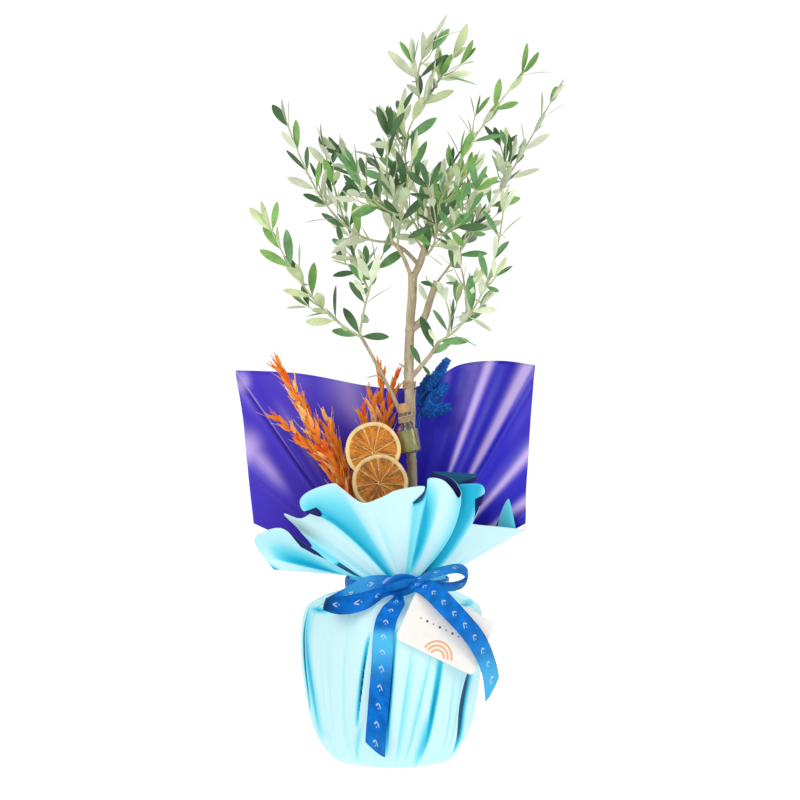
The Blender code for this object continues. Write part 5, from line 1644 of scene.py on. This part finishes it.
def make_oats(context):
    """Dried oats: thin stems, and spikelets of three slender husks with one long awn."""
    sizes = context.scene.olive_trimmings
    chance = random.Random(7)
    materials = []
    for label, low, high in (
        ("", 0.8, sizes.oats),
        (" deep", tone(236, 92, 18), tone(255, 122, 30)),
        (" light", tone(255, 178, 92), tone(255, 212, 142)),
    ):
        made = Finish("Oat husk" + label, low, high, 90, grain=0.8).rough(0.55, 0.75)
        made.relief(1200, 0.0002, 0.4).fixed(Specular_IOR_Level=0.2)
        materials.append(made.material)
    husk = ((0, 0.14), (0.12, 0.38), (0.36, 0.5), (0.64, 0.38), (0.86, 0.15), (1, 0.02))
    awn = ((0, 0.5), (0.5, 0.34), (1, 0.05))
    for name, spray in OATS.items():
        husks, awns = [], []
        stems = bmesh.new()
        for stem in spray.stems:
            path = evened((spray.root, *stem), 60)
            added(stems, tube(path, tapered(1.15, 0.5, 60), 8, ribbed))
            turn = chance.uniform(0, FULL_TURN)
            for share in tapered(0.44, 0.94, spray.spikelets):
                root = between(path, share)
                along = heading(partial(between, path), share)
                turn += GOLDEN_ANGLE
                lean = radians(chance.uniform(9, 27))
                pointing = leaning(along, off_axis(along, turn), lean).normalized()
                length = spray.length * chance.uniform(0.8, 1.08) * (1 - 0.15 * share)
                start = root + pointing * chance.uniform(0.5, 3)
                added(stems, tube([root, root.lerp(start, 0.5), start], [0.4, 0.35, 0.3], 5))
                slot = chance.choice((0, 0, 0, 1, 2))
                for part in range(3):
                    opening = radians(chance.uniform(2, 9))
                    outward = off_axis(pointing, FULL_TURN * part / 3 + turn)
                    way = leaning(pointing, outward, opening).normalized()
                    face = turned_face(way, outward)
                    size = length * chance.uniform(0.62, 1)
                    curl = chance.uniform(-0.05, 0.08)
                    husks.append(Blade(start, way, face, size, 4.8, 1.2, curl, -0.25, slot))
                    if part == 0:
                        root = start + way * size * 0.6
                        reach = chance.uniform(0.7, 1.1) * length * 0.8
                        curl = chance.uniform(-0.12, 0.16)
                        awns.append(Blade(root, way, face, reach, 0.34, 0.3, curl, 0, 2))
        for label, outline, blades in (("_husks", husk, husks), ("_awns", awn, awns)):
            template = blade_template(outline)
            scattered(name + label, template, blades, materials, [name])
        finished(name + "_stems", stems, [materials[1]], [name])


def make_seed_heads(context):
    """Dyed seed heads: overlapping bracts wound round a core, on thin stems."""
    sizes = context.scene.olive_trimmings
    chance = random.Random(5)
    materials = []
    for label, low, high in (("", 0.4, 1), (" light", 0.9, 1.9)):
        low, high = shade(sizes.heads, low), shade(sizes.heads, high)
        made = Finish("Seed head" + label, low, high, 420, grain=1.2).rough(0.6, 0.8)
        materials.append(made.relief(1500, 0.0003, 0.5).material)
    bract = ((0, 0.25), (0.3, 0.5), (0.65, 0.42), (1, 0.03))
    swell = (0.35, 0.8, 0.98, 1, 0.95, 0.82, 0.6, 0.3)
    bracts = []
    cores = bmesh.new()
    for head in BLUE_HEADS:
        root, tip = Vector(head.root), Vector(head.tip)
        added(cores, tube(evened((*head.stem, head.root), 40), tapered(0.9, 0.7, 40), 8))
        shares = tapered(0, 1, 14)
        radii = [max(0.72 * head.radius * between(swell, share), 0.3) for share in shares]
        added(cores, tube([root.lerp(tip, share) for share in shares], radii, 12))
        length = (tip - root).length
        along = (tip - root).normalized()
        count = int(length * head.radius * 1.25)
        for index in range(count):
            share = (index + 0.5) / count
            out = off_axis(along, GOLDEN_ANGLE * index)
            reach = head.radius * between(swell, share) * 0.6
            lean = radians(chance.uniform(18, 34) + 8 * (1 - share))
            way = leaning(along, out, lean).normalized()
            start = root + along * (length * share * 0.93 - 1) + out * reach
            face = turned_face(way, out, chance.uniform(-0.4, 0.4))
            size = chance.uniform(3.6, 5)
            slot = int(chance.random() < 0.3)
            bracts.append(Blade(start, way, face, size, 2.1, 1, -0.05, -0.3, slot))
    names = [f"blue_head_{number}" for number in range(1, len(BLUE_HEADS) + 1)]
    slot = "dyed_seed_heads"
    scattered("seed_head_bracts", blade_template(bract), bracts, materials, names)
    finished("seed_head_stems", cores, materials[:1], names)


# ---- bottle and twine


def bottle_place():
    """The turn and the move that put the bottle's upright shapes at the trunk."""
    return Matrix.Translation(BOTTLE_FOOT) @ Matrix.Rotation(radians(-BOTTLE_TILT), 4, "Y")


def cork_at(u, v):
    """A place on the cork, which is pitted."""
    radius, height = between([Vector(pair) for pair in CORK_OUTLINE], v)
    angle = FULL_TURN * u
    if radius > 0.5:
        radius += 0.18 * noise(round_z(2.5, angle, height * 0.9))
    return round_z(max(radius, 0), angle, BOTTLE_HEIGHT + height)


def make_bottle(context):
    """The small corked bottle: thick clear glass, the oil in it and its stopper."""
    sizes = context.scene.olive_trimmings
    clear = Finish("Clear glass", tone(240, 246, 238), tone(250, 252, 248), 20)
    clear.fixed(Transmission_Weight=1, Roughness=0.02, IOR=1.46).relief(160, 0.0001, 0.06)
    liquid = Finish("Olive oil", 0.9, sizes.oil, 30)
    liquid.fixed(Transmission_Weight=0.5, Roughness=0.05, IOR=1.47)
    cork = Finish("Cork", 0.6, sizes.cork, 260, grain=1.4)
    cork.rough(0.75, 0.95).relief(900, 0.0006, 0.7)
    for name, node, shape, made, slot in (
        ("bottle_glass", "oil_bottle", turned(GLASS_OUTLINE), clear, "clear_glass"),
        ("bottle_oil", "oil_fill", turned(OIL_OUTLINE), liquid, "olive_oil"),
        ("bottle_stopper", "bottle_cork", closed_up(surface(64, 56, cork_at)), cork, "cork"),
    ):
        bmesh.ops.transform(shape, matrix=bottle_place(), verts=shape.verts)
        finished(name, shape, [made.material], [node], 50)


def coil(centre, axis, radius, pitch, start, seed):
    """Points of a slightly uneven coil round an axis, 26 to each turn."""
    side = axis.orthogonal().normalized()
    across = axis.cross(side)
    points = []
    for turns in tapered(0, COIL_TURNS, int(26 * COIL_TURNS) + 1):
        angle = start + FULL_TURN * turns
        height = pitch * (turns - COIL_TURNS / 2) + 0.35 * grain_at(angle * 0.35, seed)
        reach = radius + 0.35 * grain_at(angle * 0.5, seed + 5)
        points.append(centre + leaning(side, across, angle) * reach + axis * height)
    return points


def make_twine(context):
    """Jute twine of three twisted yarns, wound round the bottle's neck and the trunk."""
    sizes = context.scene.olive_trimmings
    thick = sizes.twine_radius / MM
    place = bottle_place()
    centres = place @ (Z * (BOTTLE_BODY + 7)), through(LIMBS["trunk"].points, 0.475)

    def twist(distance, angle):
        return 0.2 * cos(3 * angle - 2 * distance) - 0.06

    up = (place.to_3x3() @ Z).normalized()
    neck_coil = coil(centres[0], up, BOTTLE_NECK_RADIUS + thick + 0.25, 1.5, 0.4, 1)
    up = (Z - X * 0.03).normalized()
    trunk_coil = coil(centres[1], up, 5 + thick + 0.5, 1.7, 2, 2)
    bends = [
        [centres[middle] + Vector(offset) for middle, offset in strand] for strand in STRAND_BENDS
    ]
    strands = (
        [neck_coil[-1], *bends[0], trunk_coil[0]], [neck_coil[0], *bends[1]], bends[2],
    )
    whole = bmesh.new()
    for points in (neck_coil, trunk_coil):
        added(whole, tube(points, [thick] * len(points), 9, twist))
    for strand in strands:
        added(whole, tube(evened(strand, 40), [thick * 0.9] * 40, 9, twist))
    made = Finish("Jute", 0.62, sizes.jute, 0.9, (9, 1, 1), 1.2, True)
    made.rough(0.8, 0.95).relief(3, 0.0004, 0.8).fixed(Sheen_Weight=0.3)
    finished("jute_wound", whole, [made.material], ["jute_twine"], 60)


# ---- bark


def bark_relief(limb_number, scale):
    """The height of the bark: long soft ridges, low knots and rings at the old buds."""

    def relief(distance, angle):
        around = round_z(1, angle)
        ridges, fine, knots = (
            noise(around * width + Vector((x, y, distance * rise)))
            for width, x, y, rise in (
                (2.4, 0, limb_number, 0.035), (6, limb_number, 0, 0.16),
                (1.2, 0, limb_number * 3, 0.09),
            )
        )
        height = 0.055 * ridges + 0.03 * fine + 0.13 * max(knots - 0.3, 0)
        if scale > THICK_LIMB:
            ring = sum(bell(distance, place, 2.2) for place in BUD_RINGS)
            height += 0.13 * ring * (0.6 + 0.4 * ridges)
        return scale * height

    return relief


def make_bark(context):
    """The trunk and the boughs in their bark, with stubs and the cut end of a bough."""
    sizes = context.scene.olive_tree
    whole = bmesh.new()
    for number, (name, limb) in enumerate(LIMBS.items()):
        count = int(travelled([Vector(point) for point in limb.points])[-1] / 1.7) + 2
        points = evened(limb.points, count)
        if name == "trunk":
            points = [point + X * 0.5 * grain_at(point.z * 0.02, 1) for point in points]
        radii = [between(limb.radii, share) for share in tapered(0, 1, count)]
        radii[0] += 0.4
        sides = 32 if name == "trunk" else 20
        added(whole, tube(points, radii, sides, bark_relief(number, radii[0])))
    for number, (points, radius) in enumerate(STUBS, 20):
        radii = tapered(radius, 0.55 * radius, 16)
        added(whole, tube(evened(points, 16), radii, 10, bark_relief(number, radius)))
    before, tip = (Vector(point) for point in LIMBS["bough_stump"].points[-2:])
    way = (tip - before).normalized()
    rings = [tip + way * (0.05 * index - 0.3) for index in range(10)]
    added(whole, tube(rings, [3.1] * 9 + [2.8], 20), 1)
    made = Finish("Bark", 0.66, sizes.bark, 34, (3, 3, 0.8), 0.9)
    patches = noise_node(made.tree, made.place, 11, Detail=3)
    made.ramp(patches, 0.56, 0.72, tone(150, 150, 112), 0.5)
    inputs = {"Vector": made.place, "Scale": 220}
    specks = add_node(made.tree, "ShaderNodeTexVoronoi", inputs).outputs["Distance"]
    made.ramp(specks, 0.2, 0.08, tone(126, 104, 76), 0.55)
    made.rough(0.7, 0.9).relief(520, 0.0007, 0.7)
    cut = Finish("Cut wood", tone(196, 160, 112), tone(226, 200, 158), 300, grain=0.8)
    cut.rough(0.65, 0.8).relief(1200, 0.0003, 0.5)
    finished("bark", whole, [made.material, cut.material], list(LIMBS), 70)


# ---- twigs and leaves


def shoot_curves(mass):
    """Each shoot's curve, as a function of the share of its length."""
    curves = []
    for shoot in mass.shoots:
        if shoot.parent < 0:
            root = through(LIMBS[mass.limb].points, shoot.at)
        else:
            root = curves[shoot.parent](shoot.at)
        curves.append(partial(bow, root, shoot.via, shoot.tip))
    return curves


def curve_length(curve):
    """The length of a curve, to a tenth of a millimetre."""
    return travelled([curve(share) for share in tapered(0, 1, 21)])[-1]


def leaf_places(curve, shoot, chance):
    """Where each leaf of a shoot sits: its root, direction, face and length.

    Leaves stand in opposite pairs, each pair turned a right angle from the last.  They
    open wide near the shoot's foot, close up towards its tip, and end in a last leaf.
    """
    places = []
    side = None
    pairs = max(2, round(curve_length(curve) * 0.9 / INTERNODE))
    for index, share in enumerate(tapered(0.12, 0.98, pairs)):
        root = curve(share)
        along = heading(curve, share)
        side = along.orthogonal() if side is None else side
        side = (side - along * side.dot(along)).normalized()
        turn = radians(shoot.roll + 90 * index + chance.uniform(-14, 14))
        for half in (0, pi):
            out = swung(side, turn + half, along)
            lean = radians(52 - 26 * share + chance.uniform(-9, 9))
            pointing = leaning(along, out, lean)
            face = (along - pointing * along.dot(pointing)).normalized()
            length = shoot.leaf * (1.1 - 0.14 * share) * chance.uniform(0.86, 1.14)
            places.append((root, pointing, face, length))
    places.append((curve(0.985), along, side, shoot.leaf * 0.95))
    return places


def side_shoots(curve, shoot, count, chance):
    """Short finer twigs that leave a shoot to a random side and a little upwards, with smaller
    leaves.
    """
    found = []
    for index in range(count):
        share = 0.3 + 0.45 * (index + chance.uniform(0, 0.6)) / count
        root = curve(share)
        along = heading(curve, share)
        out = off_axis(along, chance.uniform(0, FULL_TURN))
        reach = chance.uniform(14, 24)
        tip = root + (along * 0.75 + out * 0.6 + Z * 0.25).normalized() * reach
        via = root.lerp(tip, 0.5) + out * reach * 0.08
        smaller = shoot._replace(leaf=shoot.leaf * 0.8, roll=chance.uniform(0, 90))
        found.append((partial(bow, root, via, tip), smaller))
    return found


def knobbly(distance, angle):
    """The relief of a twig: low ribs, and a swelling at each pair of leaves."""
    return ribbed(distance, angle) + 0.1 * bell(distance % INTERNODE, 8, 1.2)


def grown(sizes):
    """The twigs' shape, and a blade for each leaf, from the limbs by the solids' rule."""
    low, high = (Vector(corner) / MM for corner in CAD_BOX)
    twigs = bmesh.new()
    leaves = []
    fine = random.Random(99)
    for mass in MASSES.values():
        chance = random.Random(mass.seed)
        for curve, shoot in zip(shoot_curves(mass), mass.shoots):
            places = leaf_places(curve, shoot, chance)
            paths = [(curve, TWIG_ROOT_RADIUS, TWIG_TIP_RADIUS)]
            wanted = sizes.side_twigs if curve_length(curve) > 60 else min(sizes.side_twigs, 1)
            for finer, finer_shoot in side_shoots(curve, shoot, wanted, fine):
                places += leaf_places(finer, finer_shoot, fine)
                paths.append((finer, 0.8, 0.5))
            for path, thick, thin in paths:
                count = max(6, int(curve_length(path) / 4))
                points = [path(share) for share in tapered(0, 1, count)]
                added(twigs, tube(points, tapered(thick, thin, count), 8, knobbly))
            spray = fine.choice((0, 0, 1, 1, 2))
            for root, pointing, face, length in places:
                tip = root + pointing * length
                if fine.random() < sizes.bare or not all(
                    least - LEAF_REACH <= value <= most + LEAF_REACH
                    for least, value, most in zip(low, tip, high)
                ):
                    continue
                palette = spray if fine.random() < 0.7 else fine.choice((0, 1, 2))
                front = TO_LIGHT * (1 if fine.random() < sizes.sunward else -1)
                twist = fine.uniform(-sizes.twist, sizes.twist)
                face = turned_face(pointing, face * 0.9 + front, twist)
                width = length * sizes.slenderness * fine.uniform(0.88, 1.14)
                curl, fold = fine.uniform(-0.02, 0.13), fine.uniform(0.04, 0.2)
                leaves.append(
                    Blade(root, pointing, face, length, width, 0.5, curl, fold, 2 * palette)
                )
    for limb, share, tip, palette, side in WOOD_LEAVES:
        root = through(LIMBS[limb].points, share)
        reach = Vector(tip) - root
        pointing = reach.normalized()
        face = turned_face(pointing, Vector((0.25, -1, 0.35)) * side)
        width = reach.length * sizes.slenderness * 1.12
        leaves.append(
            Blade(root, pointing, face, reach.length, width, 0.5, 0.08, 0.12, 2 * palette)
        )
    return twigs, leaves


def make_foliage(context):
    """Every twig and leaf; a leaf's green side and its silver side have their own finish."""
    sizes = context.scene.olive_tree
    twigs, leaves = grown(sizes)
    materials = []
    for label, upper, under in (
        ("", sizes.leaf_dark, sizes.leaf_silver),
        (" deep", shade(sizes.leaf_dark, 0.45), shade(sizes.leaf_silver, 0.82)),
        (" young", sizes.leaf_fresh, tone(218, 232, 178)),
    ):
        top = Finish("Leaf" + label, shade(upper, 0.7), shade(upper, 1.15), 45)
        top.rough(0.4, 0.55).relief(700, 0.0002, 0.25).fixed(Specular_IOR_Level=0.3)
        low, high = shade(under, 0.82), shade(under, 1.08)
        bottom = Finish("Leaf underside" + label, low, high, 45).rough(0.62, 0.75)
        bottom.relief(900, 0.0002, 0.3).fixed(Specular_IOR_Level=0.2)
        materials += [top.material, bottom.material]
    template = blade_template(LEAF_OUTLINE, two_sided=True)
    names = list(MASSES)
    scattered("olive_leaves", template, leaves, materials, names)
    green = Finish("Twig bark", 0.8, sizes.twig, 120, grain=0.7)
    green.rough(0.55, 0.75).relief(900, 0.0003, 0.4)
    finished("olive_twigs", twigs, [green.material], names)


# ---- stage


def add_light(name, place, size, watts):
    """A soft square lamp that looks at the middle of the tree, in metres."""
    lamp = bpy.data.lights.new(name, "AREA")
    lamp.size = size
    lamp.energy = watts
    made = in_scene(name, lamp)
    made.location = place
    made.rotation_euler = (LAMP_AIM - Vector(place)).to_track_quat("-Z", "Y").to_euler()


def make_stage(context):
    """A plain pale floor, a white surround, three soft lamps and the camera."""
    sizes = context.scene.olive_stage
    shape = bmesh.new()
    bmesh.ops.create_circle(shape, cap_ends=True, segments=96, radius=12000 * MM)
    floor = in_scene("studio_floor", meshed("studio_floor", shape))
    made = Finish("Studio floor", 0.985, sizes.floor, 1.5)
    made.fixed(Roughness=0.8, Emission_Strength=1)
    seen = add_node(made.tree, "ShaderNodeLightPath").outputs["Is Camera Ray"]
    made.feed(blended(made.tree, seen, grey(0.25), grey(0.66)), "Emission Color")
    floor.data.materials.append(made.material)

    world = bpy.data.worlds.new("Studio surround")
    world.use_nodes = True
    context.scene.world = world
    tree = world.node_tree
    sky = tree.nodes["Background"]
    sky.inputs["Color"].default_value = grey(1)
    seen = add_node(tree, "ShaderNodeLightPath").outputs["Is Camera Ray"]
    strength = sum_of(tree, "ADD", sum_of(tree, "MULTIPLY", seen, 0.6), 0.46)
    tree.links.new(strength, sky.inputs["Strength"])

    add_light("key_lamp", (-1.1, -1.9, 1.5), 1.3, sizes.key_power)
    add_light("fill_lamp", (1.7, -1.3, 0.9), 1, sizes.fill_power)
    add_light("back_lamp", (0.6, 1.6, 1.7), 1.2, sizes.fill_power)

    lens = bpy.data.cameras.new("camera")
    lens.lens = 81
    lens.sensor_width = 36
    lens.clip_end = 60
    camera = in_scene("camera", lens)
    camera.location = (0.007, -sizes.distance, 0.356)
    camera.rotation_euler = (pi / 2, 0, 0)
    context.scene.camera = camera
    context.scene.view_settings.view_transform = "Standard"
    context.scene.view_settings.look = "None"


# ---- operators and panel


class OLIVE_OT_pot(bpy.types.Operator):
    """Give the nursery pot its plastic and the soil its lumpy top"""

    bl_idname = "olive.pot"
    bl_label = "Pot and soil"

    def execute(self, context):
        make_pot_and_soil(context)
        return {"FINISHED"}


class OLIVE_OT_film(bpy.types.Operator):
    """Make the film of the bag and its ruffled collar"""

    bl_idname = "olive.film"
    bl_label = "Film"

    def execute(self, context):
        make_film(context)
        return {"FINISHED"}


class OLIVE_OT_backing(bpy.types.Operator):
    """Make the upright purple sheet"""

    bl_idname = "olive.backing"
    bl_label = "Purple sheet"

    def execute(self, context):
        make_backing(context)
        return {"FINISHED"}


class OLIVE_OT_ribbon(bpy.types.Operator):
    """Make the ribbon's band, knot, loops and tails"""

    bl_idname = "olive.ribbon"
    bl_label = "Ribbon"

    def execute(self, context):
        make_ribbon(context)
        return {"FINISHED"}


class OLIVE_OT_tag(bpy.types.Operator):
    """Finish the card tag and print its rings and dots"""

    bl_idname = "olive.tag"
    bl_label = "Card tag"

    def execute(self, context):
        make_tag(context)
        return {"FINISHED"}


class OLIVE_OT_slices(bpy.types.Operator):
    """Make the dried orange slices"""

    bl_idname = "olive.slices"
    bl_label = "Orange slices"

    def execute(self, context):
        make_slices(context)
        return {"FINISHED"}


class OLIVE_OT_oats(bpy.types.Operator):
    """Make the dyed oats"""

    bl_idname = "olive.oats"
    bl_label = "Oats"

    def execute(self, context):
        make_oats(context)
        return {"FINISHED"}


class OLIVE_OT_seed_heads(bpy.types.Operator):
    """Make the dyed seed heads"""

    bl_idname = "olive.seed_heads"
    bl_label = "Seed heads"

    def execute(self, context):
        make_seed_heads(context)
        return {"FINISHED"}


class OLIVE_OT_bottle(bpy.types.Operator):
    """Make the bottle of oil and its cork"""

    bl_idname = "olive.bottle"
    bl_label = "Bottle"

    def execute(self, context):
        make_bottle(context)
        return {"FINISHED"}


class OLIVE_OT_twine(bpy.types.Operator):
    """Wind the twine round the bottle and the trunk"""

    bl_idname = "olive.twine"
    bl_label = "Twine"

    def execute(self, context):
        make_twine(context)
        return {"FINISHED"}


class OLIVE_OT_bark(bpy.types.Operator):
    """Give the trunk and the boughs their bark"""

    bl_idname = "olive.bark"
    bl_label = "Bark"

    def execute(self, context):
        make_bark(context)
        return {"FINISHED"}


class OLIVE_OT_foliage(bpy.types.Operator):
    """Grow the twigs and the leaves"""

    bl_idname = "olive.foliage"
    bl_label = "Twigs and leaves"

    def execute(self, context):
        make_foliage(context)
        return {"FINISHED"}


class OLIVE_OT_stage(bpy.types.Operator):
    """Set up the floor, the lamps and the camera"""

    bl_idname = "olive.stage"
    bl_label = "Stage"

    def execute(self, context):
        make_stage(context)
        return {"FINISHED"}


OPERATORS = (
    OLIVE_OT_pot, OLIVE_OT_film, OLIVE_OT_backing, OLIVE_OT_ribbon, OLIVE_OT_tag,
    OLIVE_OT_slices, OLIVE_OT_oats, OLIVE_OT_seed_heads, OLIVE_OT_bottle, OLIVE_OT_twine,
    OLIVE_OT_bark, OLIVE_OT_foliage, OLIVE_OT_stage,
)
GROUPS = {
    "olive_wrapping": OLIVE_PG_wrapping,
    "olive_ribbon": OLIVE_PG_ribbon,
    "olive_trimmings": OLIVE_PG_trimmings,
    "olive_tree": OLIVE_PG_tree,
    "olive_stage": OLIVE_PG_stage,
}


class OLIVE_PT_panel(bpy.types.Panel):
    """Sizes, colours and the steps that make the dressed tree"""

    bl_idname = "OLIVE_PT_panel"
    bl_label = "Olive Tree"
    bl_space_type = "VIEW_3D"
    bl_region_type = "UI"
    bl_category = "Olive Tree"

    def draw(self, context):
        for operator in OPERATORS:
            self.layout.operator(operator.bl_idname)
        for name, group in GROUPS.items():
            box = self.layout.box()
            box.label(text=group.__doc__)
            for setting in group.__annotations__:
                box.prop(getattr(context.scene, name), setting)


def register():
    """Add the settings, the operators and the panel."""
    for name, group in GROUPS.items():
        bpy.utils.register_class(group)
        setattr(bpy.types.Scene, name, PointerProperty(type=group))
    for operator in OPERATORS:
        bpy.utils.register_class(operator)
    bpy.utils.register_class(OLIVE_PT_panel)


def unregister():
    """Take the settings, the operators and the panel away again."""
    bpy.utils.unregister_class(OLIVE_PT_panel)
    for operator in reversed(OPERATORS):
        bpy.utils.unregister_class(operator)
    for name, group in GROUPS.items():
        delattr(bpy.types.Scene, name)
        bpy.utils.unregister_class(group)


def main():
    """Make every piece and the stage."""
    register()
    for operator in OPERATORS:
        getattr(bpy.ops.olive, operator.bl_idname.split(".")[1])()


if __name__ == "__main__":
    main()
